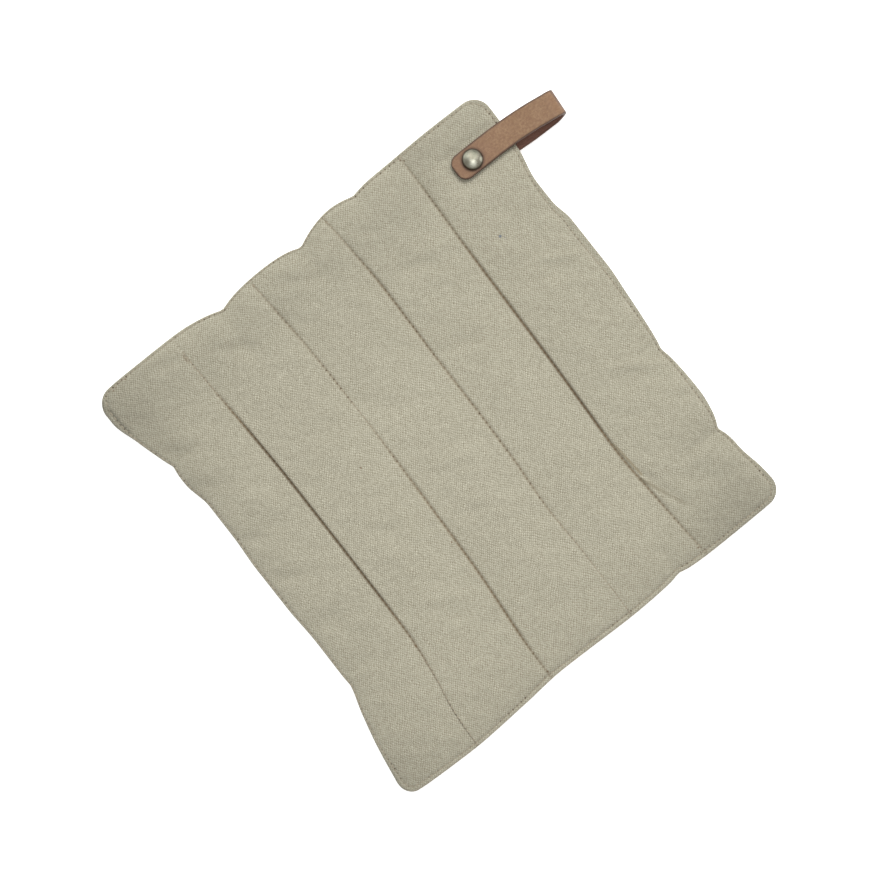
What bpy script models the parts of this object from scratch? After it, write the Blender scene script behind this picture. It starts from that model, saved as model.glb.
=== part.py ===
"""Quilted pot holder: a square canvas pad, sewn through in four lines, with a riveted leather loop.

Metres, +Z up. +X runs across the five channels, +Y along them, and +Z out of the front face.
The origin is the middle of the back face, on the surface that the pad rests on.
Sizes and tables are in millimetres, and MM turns them into metres as each mesh is made.
"""

from math import cos, pi, sin

import bmesh
import bpy
import numpy as np

MM = 0.001
GAP = 0.3  # clearance between neighbouring pieces

# Pad
CHANNELS = 5
HALF_WIDTH = 100.0  # nominal, across the channels
HALF_LENGTH = 105.0  # nominal, along the channels
CORNER = 0.075  # corner radius, as a share of the half sides
TOPSTITCH_INSET = 2.5  # from the edge to the topstitching
RIM_THICKNESS = 2.4  # turned edge outside the topstitching
SEAM_THICKNESS = 1.8  # where stitches press the two cloths together
LINE_SWELL = 12.0  # distance over which the filling rises from a quilting line
EDGE_SWELL = 22.0  # the same, from the topstitching
SWELL_ROUND = 2.4  # the larger, the flatter the crowns
LINE_STEEP = 0.45  # the smaller, the steeper the filling rises beside a quilting line
EDGE_STEEP = 0.5  # the same, beside the topstitching
BACK_SWELL = 0.95  # the back's swell, as a share of the front's
RIM_MIDDLE = 2.7  # height of the rim's middle above the surface
RIM_CLEARANCE = 0.2  # least height of the rim's underside
SEAM_MIDDLE = 3.2  # height of the quilting lines' middle, well inside the rim
# Waves of the rim: (height, turn per mm across, turn per mm along, start)
RIM_WAVES = [(0.28, 0.052, 0.040, 0.9), (0.22, 0.031, -0.057, 2.1), (0.16, 0.09, -0.09, 0.0)]

# Each side's distance from the pad's middle: (place along the side, distance out)
TOP_SIDE = [(-104, 104.6), (-88, 105.5), (-60, 105.7), (-36, 104.2), (-14, 104.8), (5, 105.0),
            (25, 107.1), (36, 106.4), (50, 106.4), (78, 107.0), (104, 106.7)]
BOTTOM_SIDE = [(-104, 107.0), (-90, 108.4), (-68, 109.0), (-40, 107.4), (-17, 105.7), (18, 106.3),
               (45, 105.5), (62, 105.6), (88, 105.2), (104, 104.5)]
LEFT_SIDE = [(-105, 103.6), (-80, 99.4), (-66, 96.1), (-53, 92.9), (-30, 92.3), (-12, 93.1),
             (8, 93.1), (25, 92.3), (41, 92.2), (53, 94.4), (63, 95.1), (80, 99.2), (93, 102.7),
             (105, 102.8)]
RIGHT_SIDE = [(-105, 101.7), (-92, 100.8), (-78, 98.7), (-62, 99.1), (-50, 99.9), (-26, 99.6),
              (0, 101.4), (15, 102.5), (39, 102.4), (50, 100.6), (60, 100.5), (75, 102.9),
              (93, 104.2), (105, 104.4)]

# Puckers, where tight stitches draw a side in: (place along the side, depth, reach to each side)
TOP_PUCKERS = [(-36.5, 2.7, 6.0), (5.5, 3.2, 6.0), (36.5, 1.4, 4.0)]
BOTTOM_PUCKERS = [(45.5, 1.3, 3.5)]
LEFT_PUCKERS = [(-53.0, 0.6, 4.0), (62.8, 1.2, 3.0)]
RIGHT_PUCKERS = [(-67.0, 2.7, 4.0), (-26.5, 1.4, 4.5)]
PUCKER_REACH = 12.0  # how far a pucker runs in from the edge
PUCKER_SINK = 0.45  # share of the crown lost there, for each mm of its depth
PUCKER_MOST = 0.8  # most of the crown that puckers may take

# Quilting lines: (place along the line, then where lines 1 to 4 cross the pad there)
QUILTING_LINES = [
    (-105, -65.6, -23.6, 19.0, 59.7),
    (-88, -64.5, -23.0, 19.2, 58.5),
    (-70, -61.5, -21.7, 19.3, 57.5),
    (-50, -59.5, -20.3, 19.3, 56.7),
    (-25, -59.1, -19.4, 20.5, 57.5),
    (0, -58.9, -18.6, 21.3, 58.5),
    (30, -58.7, -17.8, 21.8, 59.5),
    (60, -59.6, -17.7, 22.5, 60.4),
    (85, -60.3, -18.9, 21.7, 61.2),
    (105, -60.8, -20.0, 20.5, 61.6),
]

# Fullness, how far each channel's front swells above its seams: (place along, then channels 1 to 5)
FULLNESS = [
    (-105, 2.3, 2.6, 2.7, 2.5, 2.5),
    (-60, 2.7, 3.0, 3.1, 2.8, 2.9),
    (-20, 3.0, 3.1, 3.0, 3.0, 3.1),
    (20, 3.1, 3.0, 2.9, 3.0, 3.0),
    (60, 2.9, 2.8, 2.7, 2.9, 2.4),
    (105, 2.4, 2.3, 2.4, 2.5, 1.8),
]

# Tightness, the share of the fullness that the stitches press down: (place along, then lines 1 to 4)
TIGHTNESS = [
    (-105, 0.4, 0.5, 0.4, 0.7),
    (-65, 0.6, 0.65, 0.45, 0.85),
    (-29, 0.95, 0.6, 0.55, 0.95),
    (0, 0.95, 0.55, 0.6, 0.95),
    (29, 0.95, 0.45, 0.65, 0.9),
    (66, 0.6, 0.7, 0.8, 0.8),
    (105, 0.6, 0.7, 0.7, 0.7),
]

# Leather loop: one strip, folded over the pad's edge
STRAP_WIDTH = 11.6
STRAP_THICKNESS = 2.0
STRAP_CHAMFER = 0.35
TONGUE_END = 75.8  # where both tongues end, across the pad
TONGUE_CORNER = 3.6  # radius of the tongues' corners
FOLD_MIDDLE = 123.1  # where the legs turn into the fold
FOLD_STEPS = 14
FRONT_TONGUE = 8.3  # heights of the strip's middle: at each tongue, then where each leg meets the fold
BACK_TONGUE = 3.1
FOLD_TOP = 10.3
FOLD_BOTTOM = 1.3
# Middle of each leg, from its tongue to the fold: (across, along, height)
FRONT_LEG = [(75.8, 85.4, FRONT_TONGUE), (94, 85.4, FRONT_TONGUE), (104, 85.1, 8.6),
             (114, 84.2, 9.7), (FOLD_MIDDLE, 82.9, FOLD_TOP)]
BACK_LEG = [(75.8, 86.8, BACK_TONGUE), (84.7, 85.3, BACK_TONGUE), (95, 83.4, BACK_TONGUE),
            (104, 82.2, 2.7), (114, 81.7, 1.8), (FOLD_MIDDLE, 81.6, FOLD_BOTTOM)]

# Rivet: front cap, and back cap with its post
RIVET_PLACE = (84.7, 85.3)
RIVET_CAP_RADIUS = 4.5
FRONT_CAP_HEIGHT = 2.6
BACK_CAP_HEIGHT = 1.6
POST_RADIUS = 1.5
HOLE_LENGTH = 12.0  # of the guide that cuts the post's hole
CAP_EDGE = 0.5  # height of a cap's rolled edge
CAP_ROLL = 0.4  # how far that edge turns in
RIVET_SIDES = 36

# Pad pinched under the tongues
PINCH_TOP = FRONT_TONGUE - STRAP_THICKNESS / 2 - GAP
PINCH_BOTTOM = BACK_TONGUE + STRAP_THICKNESS / 2 + GAP
PINCH_MARGIN = 1.6  # how far the pinched flat reaches past the strap
PINCH_SLOPE = 0.75  # rise of the pad away from the strap, as a share of the distance
PINCH_BLEND = 1.5  # height over which the pinched flat runs into the crown
PINCH_LIFT = 2.8  # how far the strap lifts the pad around it
PINCH_LIFT_PLACE = (94.7, 85.3)
PINCH_LIFT_REACH = 40.0

# Grid of the pad's faces: distances in from the rim, and away from each quilting line
RIM_STEPS = (0.0, 0.7, 1.6)
SEAM_STEPS = (0.0, 1.6, 4.5, 10.0)
ROW_SPACING = 8.5
PUCKER_ROWS = (-66.5, -26.5, 62.0)  # rows through the side puckers, and columns through the end ones
PUCKER_COLUMNS = (64.6, 105.5, 136.0, 146.5)
PINCH_ROWS = (71.5, 74.5, 77.0, 80.0, 83.5, 87.0, 88.7, 90.3, 93.3)  # closer rows by the strap
PINCH_COLUMNS = (12.8, 15.5, 24.0)  # extra columns there, from the last quilting line

CANVAS_COLOUR = (0.47, 0.42, 0.32)
LEATHER_COLOUR = (0.38, 0.19, 0.11)
NICKEL_COLOUR = (0.50, 0.47, 0.40)
SHARP_ANGLE = 0.6  # radians, past which an edge is shaded sharp


def smooth_curve(table, places, column=1):
    """Read a table's column at any place: a cubic through the rows that never swings past them."""
    rows = np.array(table, dtype=float)
    x, y = rows[:, 0], rows[:, column]
    slope = np.diff(y) / np.diff(x)
    before, after = slope[:-1], slope[1:]
    same_way = before * after > 0
    harmonic = 2 * before * after / np.where(same_way, before + after, 1.0)
    tangent = np.concatenate(([slope[0]], np.where(same_way, harmonic, 0.0), [slope[-1]]))
    at = np.clip(np.asarray(places, dtype=float), x[0], x[-1])
    row = np.clip(np.searchsorted(x, at, side="right") - 1, 0, len(x) - 2)
    step = x[row + 1] - x[row]
    t = (at - x[row]) / step
    return (
        (1 + 2 * t) * (1 - t) ** 2 * y[row]
        + t * (1 - t) ** 2 * step * tangent[row]
        + t**2 * (3 - 2 * t) * y[row + 1]
        + t**2 * (t - 1) * step * tangent[row + 1]
    )


def pucker_depth(puckers, along):
    """How far the puckers of one side draw it in: a rounded cusp at each."""
    total = np.zeros_like(along)
    for place, depth, reach in puckers:
        away = np.sqrt((along - place) ** 2 + 1) - 1
        total += depth * np.exp(-away / reach)
    return total


def side(table, puckers, along):
    """Distance of one side from the pad's middle."""
    return smooth_curve(table, along) - pucker_depth(puckers, along)


def rounded(u, v):
    """Turn the grid's square corners into arcs: each ring of a corner square becomes a quarter circle."""
    a = (np.abs(u) - (1 - CORNER)) / CORNER
    b = (np.abs(v) - (1 - CORNER)) / CORNER
    corner = (a > 0) & (b > 0)
    shrink = np.where(corner, np.maximum(a, b) / np.where(corner, np.hypot(a, b), 1), 1)
    across = np.where(corner, 1 - CORNER + CORNER * a * shrink, np.abs(u))
    along = np.where(corner, 1 - CORNER + CORNER * b * shrink, np.abs(v))
    return np.sign(u) * across, np.sign(v) * along


def plan(u, v):
    """Where the pad's point (u, v), each from -1 to 1, lies: across in its channel, then between the ends."""
    u, v = rounded(u, v)
    along = HALF_LENGTH * v
    lines = [smooth_curve(QUILTING_LINES, along, line) for line in range(1, CHANNELS)]
    left = -side(LEFT_SIDE, LEFT_PUCKERS, along)
    right = side(RIGHT_SIDE, RIGHT_PUCKERS, along)
    columns = np.stack([left, *lines, right])
    place = (u + 1) / 2 * CHANNELS
    channel = np.clip(place.astype(int), 0, CHANNELS - 1)
    start = np.take_along_axis(columns, channel[None], 0)[0]
    end = np.take_along_axis(columns, channel[None] + 1, 0)[0]
    x = start + (end - start) * (place - channel)
    top = side(TOP_SIDE, TOP_PUCKERS, x)
    bottom = side(BOTTOM_SIDE, BOTTOM_PUCKERS, x)
    y = (1 + v) / 2 * top - (1 - v) / 2 * bottom
    return x, y


def swell(distance, reach, steep):
    """How full the filling is at a distance from a line of stitches: steep at first, then level."""
    t = np.clip(distance / reach, 0, 1)
    return (1 - (1 - t) ** SWELL_ROUND) ** steep


def rim_half(distance):
    """Half the thickness outside the topstitching: a round edge, pressed down at the stitches."""
    radius = RIM_THICKNESS / 2
    edge = np.sqrt(np.clip(radius**2 - np.clip(radius - distance, 0, radius) ** 2, 0, None))
    pressed = np.clip((distance - radius) / (TOPSTITCH_INSET - radius), 0, 1)
    return edge - (radius - SEAM_THICKNESS / 2) * pressed**2


def middle_height(x, y, inset):
    """Height of the sheet halfway between the pad's faces: low and wavy at the rim, lifted at the loop."""
    t = np.clip(inset / EDGE_SWELL, 0, 1)
    inside = t * t * (3 - 2 * t)
    waves = sum(height * np.sin(a * x + b * y + start) for height, a, b, start in RIM_WAVES)
    rim = np.maximum(RIM_MIDDLE + waves, RIM_THICKNESS / 2 + RIM_CLEARANCE)
    distance = np.hypot(x - PINCH_LIFT_PLACE[0], y - PINCH_LIFT_PLACE[1])
    lift = PINCH_LIFT * np.exp(-((distance / PINCH_LIFT_REACH) ** 2))
    return rim + (SEAM_MIDDLE - rim) * inside + lift


def strap_distance(x, y, leg):
    """Distance from a leg's footprint on the pad, nought inside it."""
    beside = np.abs(y - smooth_curve(leg, x)) - STRAP_WIDTH / 2 - PINCH_MARGIN
    before = TONGUE_END - PINCH_MARGIN - x
    return np.hypot(np.clip(beside, 0, None), np.clip(before, 0, None))


def soft_min(a, b):
    """The lower of two heights, with the crease where they cross rounded off."""
    h = np.clip(PINCH_BLEND - np.abs(a - b), 0, None) / PINCH_BLEND
    return np.minimum(a, b) - h * h * PINCH_BLEND / 4


def pucker_sink(x, y, from_side, from_end):
    """How much of the crown is lost where a pucker runs in from the rim."""
    ends = np.where(y > 0, pucker_depth(TOP_PUCKERS, x), pucker_depth(BOTTOM_PUCKERS, x))
    sides = np.where(x > 0, pucker_depth(RIGHT_PUCKERS, y), pucker_depth(LEFT_PUCKERS, y))
    depth = ends * np.exp(-from_end / PUCKER_REACH) + sides * np.exp(-from_side / PUCKER_REACH)
    return np.clip(PUCKER_SINK * depth, 0, PUCKER_MOST)


def by_number(table, number, y):
    """Read a table at y, in the column that each point's number gives."""
    columns = np.stack([smooth_curve(table, y, column) for column in range(1, len(table[0]))])
    return np.take_along_axis(columns, number[None] - 1, 0)[0]


def crown_height(u, v, x, y):
    """How far the filling lifts the front above its seams at (u, v)."""
    from_side = (1 - np.abs(u)) * HALF_WIDTH
    from_end = (1 - np.abs(v)) * HALF_LENGTH
    place = (u + 1) / 2 * CHANNELS
    channel = np.clip(place.astype(int), 0, CHANNELS - 1) + 1
    line = np.clip(np.round(place), 1, CHANNELS - 1).astype(int)
    from_line = np.abs(place - line) * 2 * HALF_WIDTH / CHANNELS
    pressed = by_number(TIGHTNESS, line, y) * (1 - swell(from_line, LINE_SWELL, LINE_STEEP))
    across = swell(from_side - TOPSTITCH_INSET, EDGE_SWELL, EDGE_STEEP)
    along = swell(from_end - TOPSTITCH_INSET, EDGE_SWELL, EDGE_STEEP)
    full = by_number(FULLNESS, channel, y) * (1 - pressed)
    return full * across * along * (1 - pucker_sink(x, y, from_side, from_end))


def pad_heights(u, v, x, y):
    """Heights of the pad's front and back faces at (u, v)."""
    inset = np.minimum((1 - np.abs(u)) * HALF_WIDTH, (1 - np.abs(v)) * HALF_LENGTH)
    half = np.where(inset < TOPSTITCH_INSET, rim_half(inset), SEAM_THICKNESS / 2)
    middle = middle_height(x, y, inset)
    crown = crown_height(u, v, x, y)
    front_limit = PINCH_TOP + PINCH_SLOPE * strap_distance(x, y, FRONT_LEG)
    back_limit = PINCH_BOTTOM - PINCH_SLOPE * strap_distance(x, y, BACK_LEG)
    front = soft_min(middle + half + crown, front_limit)
    back = -soft_min(crown * BACK_SWELL + half - middle, -back_limit)
    return front, np.maximum(back, 0)


def pad_columns():
    """Grid lines across the pad, from -1 to 1: close together at the rim and at every quilting line."""
    pitch = 2 * HALF_WIDTH / CHANNELS
    leaving = [*SEAM_STEPS, pitch / 2]
    nearing = [pitch - step for step in reversed(SEAM_STEPS[1:])]
    rim = [*RIM_STEPS, *(TOPSTITCH_INSET + step for step in SEAM_STEPS)]
    first = [*rim, pitch / 2, *nearing]
    inner = [line * pitch + step for line in range(1, CHANNELS - 1) for step in leaving + nearing]
    last_line = (CHANNELS - 1) * pitch
    last = [last_line, *(last_line + pitch - step for step in first)]
    strap = [last_line + step for step in PINCH_COLUMNS]
    return np.array(sorted([*first, *inner, *last, *strap, *PUCKER_COLUMNS])) / HALF_WIDTH - 1


def pad_rows():
    """Grid lines along the pad, from -1 to 1: close at both ends and beside the strap."""
    end = [*RIM_STEPS, *(TOPSTITCH_INSET + step for step in SEAM_STEPS)]
    low_end = [step - HALF_LENGTH for step in end]
    high_end = [-row for row in reversed(low_end) if -row > PINCH_ROWS[-1] + 1]
    fixed = [low_end[-1], *PUCKER_ROWS, PINCH_ROWS[0]]
    between = [
        row
        for low, high in zip(fixed, fixed[1:])
        for row in np.linspace(low, high, round((high - low) / ROW_SPACING) + 1)[:-1]
    ]
    return np.array([*low_end[:-1], *between, *PINCH_ROWS, *high_end]) / HALF_LENGTH


def closed_grid(rows, columns):
    """Faces of two grids of points, the second under the first, that share their rim."""
    upper = np.arange(rows * columns).reshape(rows, columns)
    lower = upper.copy()
    lower[1:-1, 1:-1] = rows * columns + np.arange((rows - 2) * (columns - 2)).reshape(rows - 2, -1)
    near, far = slice(None, -1), slice(1, None)
    round_face = [(near, near), (near, far), (far, far), (far, near)]
    front = np.stack([upper[corner].ravel() for corner in round_face], axis=1)
    back = np.stack([lower[corner].ravel() for corner in reversed(round_face)], axis=1)
    return np.concatenate([front, back]).tolist()


def add_object(name, mesh, material):
    """Link a mesh to the scene as one smooth object with its own material."""
    mesh.materials.append(material)
    mesh.shade_smooth()
    mesh.set_sharp_from_angle(angle=SHARP_ANGLE)
    thing = bpy.data.objects.new(name, mesh)
    bpy.context.scene.collection.objects.link(thing)
    return thing


def new_material(name, colour, roughness, metallic=0.0):
    """A plain finish."""
    material = bpy.data.materials.new(name)
    material.use_nodes = True
    shader = material.node_tree.nodes["Principled BSDF"]
    shader.inputs["Base Color"].default_value = (*colour, 1)
    shader.inputs["Roughness"].default_value = roughness
    shader.inputs["Metallic"].default_value = metallic
    return material


def add_post_hole():
    """A guide that cuts the rivet's hole through the pad and both tongues."""
    mesh = bpy.data.meshes.new("post_hole")
    shape = bmesh.new()
    radius = (POST_RADIUS + GAP) * MM
    bmesh.ops.create_cone(shape, cap_ends=True, segments=24, radius1=radius, radius2=radius,
                          depth=HOLE_LENGTH * MM)
    shape.to_mesh(mesh)
    shape.free()
    guide = bpy.data.objects.new("post_hole", mesh)
    guide.location = (RIVET_PLACE[0] * MM, RIVET_PLACE[1] * MM, HOLE_LENGTH / 2 * MM)
    guide.hide_render = True
    guide.display_type = "WIRE"
    bpy.context.scene.collection.objects.link(guide)
    return guide


def punch(thing, guide):
    """Cut the rivet's hole."""
    cut = thing.modifiers.new("rivet hole", "BOOLEAN")
    cut.object = guide
    cut.operation = "DIFFERENCE"


def add_pad(guide):
    """The two cloths and their filling, as one closed solid."""
    u, v = np.meshgrid(pad_columns(), pad_rows())
    x, y = plan(u, v)
    front, back = pad_heights(u, v, x, y)
    rim = np.ones_like(u, dtype=bool)
    rim[1:-1, 1:-1] = False
    front[rim] = (front[rim] + back[rim]) / 2
    upper = np.stack([x, y, front], axis=-1).reshape(-1, 3)
    lower = np.stack([x, y, back], axis=-1)[1:-1, 1:-1].reshape(-1, 3)
    mesh = bpy.data.meshes.new("quilted_pad")
    mesh.from_pydata((np.concatenate([upper, lower]) * MM).tolist(), [], closed_grid(*u.shape))
    pad = add_object("quilted_pad", mesh, new_material("canvas", CANVAS_COLOUR, 0.9))
    punch(pad, guide)


def strap_leg(leg, run):
    """One leg's middle line at the places of `run`, and its slope in plan there."""
    y = smooth_curve(leg, run)
    return np.stack([run, y, smooth_curve(leg, run, 2)], axis=1), np.gradient(y, run)


def strap_stations():
    """The strip's middle line from tongue to tongue, with its slope in plan and its half width."""
    near_end = TONGUE_CORNER * (1 - np.cos(np.linspace(0, pi / 2, 6)))
    level = np.linspace(TONGUE_CORNER, FOLD_MIDDLE - TONGUE_END, 12)[1:]
    run = TONGUE_END + np.concatenate([near_end, level])
    corner = np.clip(TONGUE_END + TONGUE_CORNER - run, 0, None)
    half = STRAP_WIDTH / 2 - TONGUE_CORNER + np.sqrt(TONGUE_CORNER**2 - corner**2)
    front, front_slope = strap_leg(FRONT_LEG, run)
    back, back_slope = strap_leg(BACK_LEG, run)
    turn = np.linspace(pi / 2, -pi / 2, FOLD_STEPS + 1)[1:-1]
    share = 0.5 - turn / pi
    radius = (FOLD_TOP - FOLD_BOTTOM) / 2
    fold = front[-1] + (back[-1] - front[-1]) * share[:, None]
    fold[:, 0] = FOLD_MIDDLE + radius * np.cos(turn)
    fold[:, 2] = (FOLD_TOP + FOLD_BOTTOM) / 2 + radius * np.sin(turn)
    fold_slope = front_slope[-1] + (back_slope[-1] - front_slope[-1]) * share
    middle = np.concatenate([front, fold, back[::-1]])
    slope = np.concatenate([front_slope, fold_slope, back_slope[::-1]])
    return middle, slope, np.concatenate([half, np.full(len(turn), STRAP_WIDTH / 2), half[::-1]])


def add_strap(guide):
    """One leather strip: an eight-sided section carried along its middle line."""
    middle, slope, half = strap_stations()
    sideways = np.stack([-slope, np.ones_like(slope), np.zeros_like(slope)], axis=1)
    sideways /= np.linalg.norm(sideways, axis=1, keepdims=True)
    forward = np.gradient(middle, axis=0)
    outward = np.cross(forward, sideways)
    outward /= np.linalg.norm(outward, axis=1, keepdims=True)
    thick, cut = STRAP_THICKNESS / 2, STRAP_CHAMFER
    edge = [(cut, thick), (0, thick - cut), (0, cut - thick), (cut, -thick)]
    ring = [(1, *corner) for corner in edge] + [(-1, *corner) for corner in reversed(edge)]
    points = np.stack(
        [
            middle + side_sign * (half - inset)[:, None] * sideways + height * outward
            for side_sign, inset, height in ring
        ],
        axis=1,
    )
    stations, corners = points.shape[:2]
    faces = [
        (s * corners + c, (s + 1) * corners + c, (s + 1) * corners + (c + 1) % corners,
         s * corners + (c + 1) % corners)
        for s in range(stations - 1)
        for c in range(corners)
    ]
    faces.append(tuple(range(corners)))
    faces.append(tuple((stations - 1) * corners + c for c in reversed(range(corners))))
    mesh = bpy.data.meshes.new("leather_loop")
    mesh.from_pydata((points.reshape(-1, 3) * MM).tolist(), [], faces)
    strap = add_object("leather_loop", mesh, new_material("leather", LEATHER_COLOUR, 0.6))
    punch(strap, guide)


def turned(name, profile, material):
    """A round piece on the rivet's axis, from its profile of (radius, height), top to bottom."""
    shape = bmesh.new()
    rings = []
    for radius, height in profile:
        sides = RIVET_SIDES if radius else 1
        angles = [2 * pi * step / sides for step in range(sides)]
        places = [(RIVET_PLACE[0] + radius * cos(a), RIVET_PLACE[1] + radius * sin(a)) for a in angles]
        rings.append([shape.verts.new((x * MM, y * MM, height * MM)) for x, y in places])
    for upper, lower in zip(rings, rings[1:]):
        for step in range(RIVET_SIDES):
            after = (step + 1) % RIVET_SIDES
            loop = [upper[step % len(upper)], lower[step % len(lower)],
                    lower[after % len(lower)], upper[after % len(upper)]]
            shape.faces.new(list(dict.fromkeys(loop)))
    mesh = bpy.data.meshes.new(name)
    shape.to_mesh(mesh)
    shape.free()
    return add_object(name, mesh, material)


def dome(base, rise, steps=7):
    """Profile of a low dome from its middle to its rim: an ellipse's quarter."""
    turns = [pi / 2 * step / steps for step in range(steps + 1)]
    return [(RIVET_CAP_RADIUS * sin(turn), base + rise * cos(turn)) for turn in turns]


def add_rivet():
    """Front cap over the front tongue, and back cap whose post runs through both tongues and the pad."""
    nickel = new_material("nickel", NICKEL_COLOUR, 0.35, 1.0)
    seat = FRONT_TONGUE + STRAP_THICKNESS / 2 + GAP
    front = dome(seat + CAP_EDGE, FRONT_CAP_HEIGHT - CAP_EDGE)
    turned("rivet_front_cap", [*front, (RIVET_CAP_RADIUS - CAP_ROLL, seat), (0, seat)], nickel)
    top = BACK_TONGUE - STRAP_THICKNESS / 2 - GAP
    post = [(0, seat - GAP), (POST_RADIUS, seat - GAP), (POST_RADIUS, top)]
    back = dome(top - CAP_EDGE, CAP_EDGE - BACK_CAP_HEIGHT)
    turned("rivet_back_cap", [*post, (RIVET_CAP_RADIUS - CAP_ROLL, top), *reversed(back)], nickel)


def main():
    """Clear the scene and build the four pieces."""
    for thing in list(bpy.data.objects):
        bpy.data.objects.remove(thing)
    guide = add_post_hole()
    add_pad(guide)
    add_strap(guide)
    add_rivet()


main()
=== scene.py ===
"""The looks of a quilted pot holder: its canvas, sewing, leather loop and rivet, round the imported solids.

Metres, +Z up, in the solids' own frame: +X runs across the five channels, +Y along them, and +Z out of
the front face. Sizes and tables are in millimetres, and MM turns them into metres as each mesh is made.
"""

from math import cos, pi, radians, sin

import bpy
import numpy as np
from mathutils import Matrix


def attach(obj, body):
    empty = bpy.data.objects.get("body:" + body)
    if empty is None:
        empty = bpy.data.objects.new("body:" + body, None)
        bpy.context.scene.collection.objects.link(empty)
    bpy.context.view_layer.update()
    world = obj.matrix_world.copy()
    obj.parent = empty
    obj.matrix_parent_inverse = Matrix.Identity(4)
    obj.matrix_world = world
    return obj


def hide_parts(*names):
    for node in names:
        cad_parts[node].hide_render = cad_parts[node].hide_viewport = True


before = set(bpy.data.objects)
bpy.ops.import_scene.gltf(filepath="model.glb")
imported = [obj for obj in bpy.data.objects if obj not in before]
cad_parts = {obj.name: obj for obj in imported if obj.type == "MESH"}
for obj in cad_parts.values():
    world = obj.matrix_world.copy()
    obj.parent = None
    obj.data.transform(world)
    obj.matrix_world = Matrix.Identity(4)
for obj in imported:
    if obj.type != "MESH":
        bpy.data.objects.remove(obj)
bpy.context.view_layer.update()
MM = 0.001

# Pad, as its solid is built
CHANNELS = 5
HALF_WIDTH = 100.0  # nominal, across the channels
HALF_LENGTH = 105.0  # nominal, along the channels
CORNER = 0.075  # corner radius, as a share of the half sides
TOPSTITCH_INSET = 2.5  # from the edge to the topstitching
RIM_THICKNESS = 2.4  # turned edge outside the topstitching
SEAM_THICKNESS = 2.1  # where stitches press the two cloths together
SWELL = 18.0  # distance over which the filling rises from a quilting line
EDGE_SWELL = 16.0  # the same, from the topstitching
SWELL_ROUND = 2.4  # the larger, the flatter the crowns
SWELL_STEEP = 0.65  # the smaller, the steeper they rise from a line
EDGE_STEEP = 0.5  # the same, from the topstitching
BACK_SWELL = 0.95  # the back's swell, as a share of the front's
RIM_MIDDLE = 2.7  # height of the rim's middle above the surface
RIM_CLEARANCE = 0.2  # least height of the rim's underside
SEAM_MIDDLE = 3.2  # height of the quilting lines' middle, well inside the rim
# Waves of the rim: (height, turn per mm across, turn per mm along, start)
RIM_WAVES = [(0.28, 0.052, 0.040, 0.9), (0.22, 0.031, -0.057, 2.1), (0.16, 0.09, -0.09, 0.0)]

# Each side's distance from the pad's middle: (place along the side, distance out)
TOP_SIDE = [(-104, 104.6), (-88, 105.5), (-60, 105.7), (-36, 104.2), (-14, 104.8), (5, 105.0),
            (25, 107.1), (36, 106.4), (50, 106.4), (78, 107.0), (104, 106.7)]
BOTTOM_SIDE = [(-104, 107.9), (-90, 109.0), (-68, 109.5), (-40, 107.9), (-17, 106.2), (18, 106.8),
               (45, 106.0), (62, 106.1), (88, 105.7), (104, 105.0)]
LEFT_SIDE = [(-105, 103.6), (-80, 99.4), (-66, 96.1), (-53, 92.9), (-30, 92.3), (-12, 93.1),
             (8, 93.1), (25, 92.3), (41, 92.2), (53, 94.4), (63, 95.1), (80, 99.2), (93, 102.7),
             (105, 102.8)]
RIGHT_SIDE = [(-105, 101.7), (-92, 100.8), (-78, 98.7), (-62, 99.3), (-50, 100.2), (-26, 99.7),
              (0, 101.4), (15, 102.5), (39, 102.4), (50, 100.6), (60, 100.5), (75, 102.9),
              (93, 104.2), (105, 104.4)]

# Puckers, where tight stitches draw a side in: (place along the side, depth, reach to each side)
TOP_PUCKERS = [(-36.5, 2.7, 6.0), (5.5, 3.2, 6.0), (36.5, 1.4, 4.0)]
BOTTOM_PUCKERS = [(45.5, 1.3, 3.5)]
LEFT_PUCKERS = [(-53.0, 0.6, 4.0), (62.8, 1.2, 3.0)]
RIGHT_PUCKERS = [(-67.0, 2.7, 4.0), (-26.5, 1.4, 4.5)]
PUCKER_REACH = 12.0  # how far a pucker runs in from the edge
PUCKER_SINK = 0.45  # share of the crown lost there, for each mm of its depth
PUCKER_MOST = 0.8  # most of the crown that puckers may take

# How far in from each side its topstitching shows: (place along the side, distance)
TOP_INSET = [(-104, 2.6), (-94, 1.2), (-60, 1.2), (-36, 1.0), (-10, 0.8), (20, 0.8), (36, 1.1),
             (60, 1.4), (90, 1.5), (104, 2.2)]
BOTTOM_INSET = [(-104, 2.4), (-90, 2.3), (-55, 1.8), (-40, 1.9), (-23, 2.3), (-10, 1.8), (8, 2.3),
                (30, 2.2), (90, 2.0), (104, 2.4)]
LEFT_INSET = [(-105, 2.6), (-95, 2.6), (-85, 1.7), (-70, 1.1), (-58, 0.8), (-35, 1.1), (0, 1.3),
              (20, 1.3), (50, 1.0), (80, 0.8), (92, 2.3), (105, 2.5)]
RIGHT_INSET = [(-105, 2.4), (-95, 2.1), (-85, 1.5), (-65, 1.2), (-50, 2.1), (-27, 1.2), (-5, 1.8),
               (12, 2.6), (35, 3.1), (50, 2.3), (65, 1.6), (92, 1.7), (105, 2.2)]
INSET_REACH = 14.0  # how far in the cloth shifts to make up for it

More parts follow.
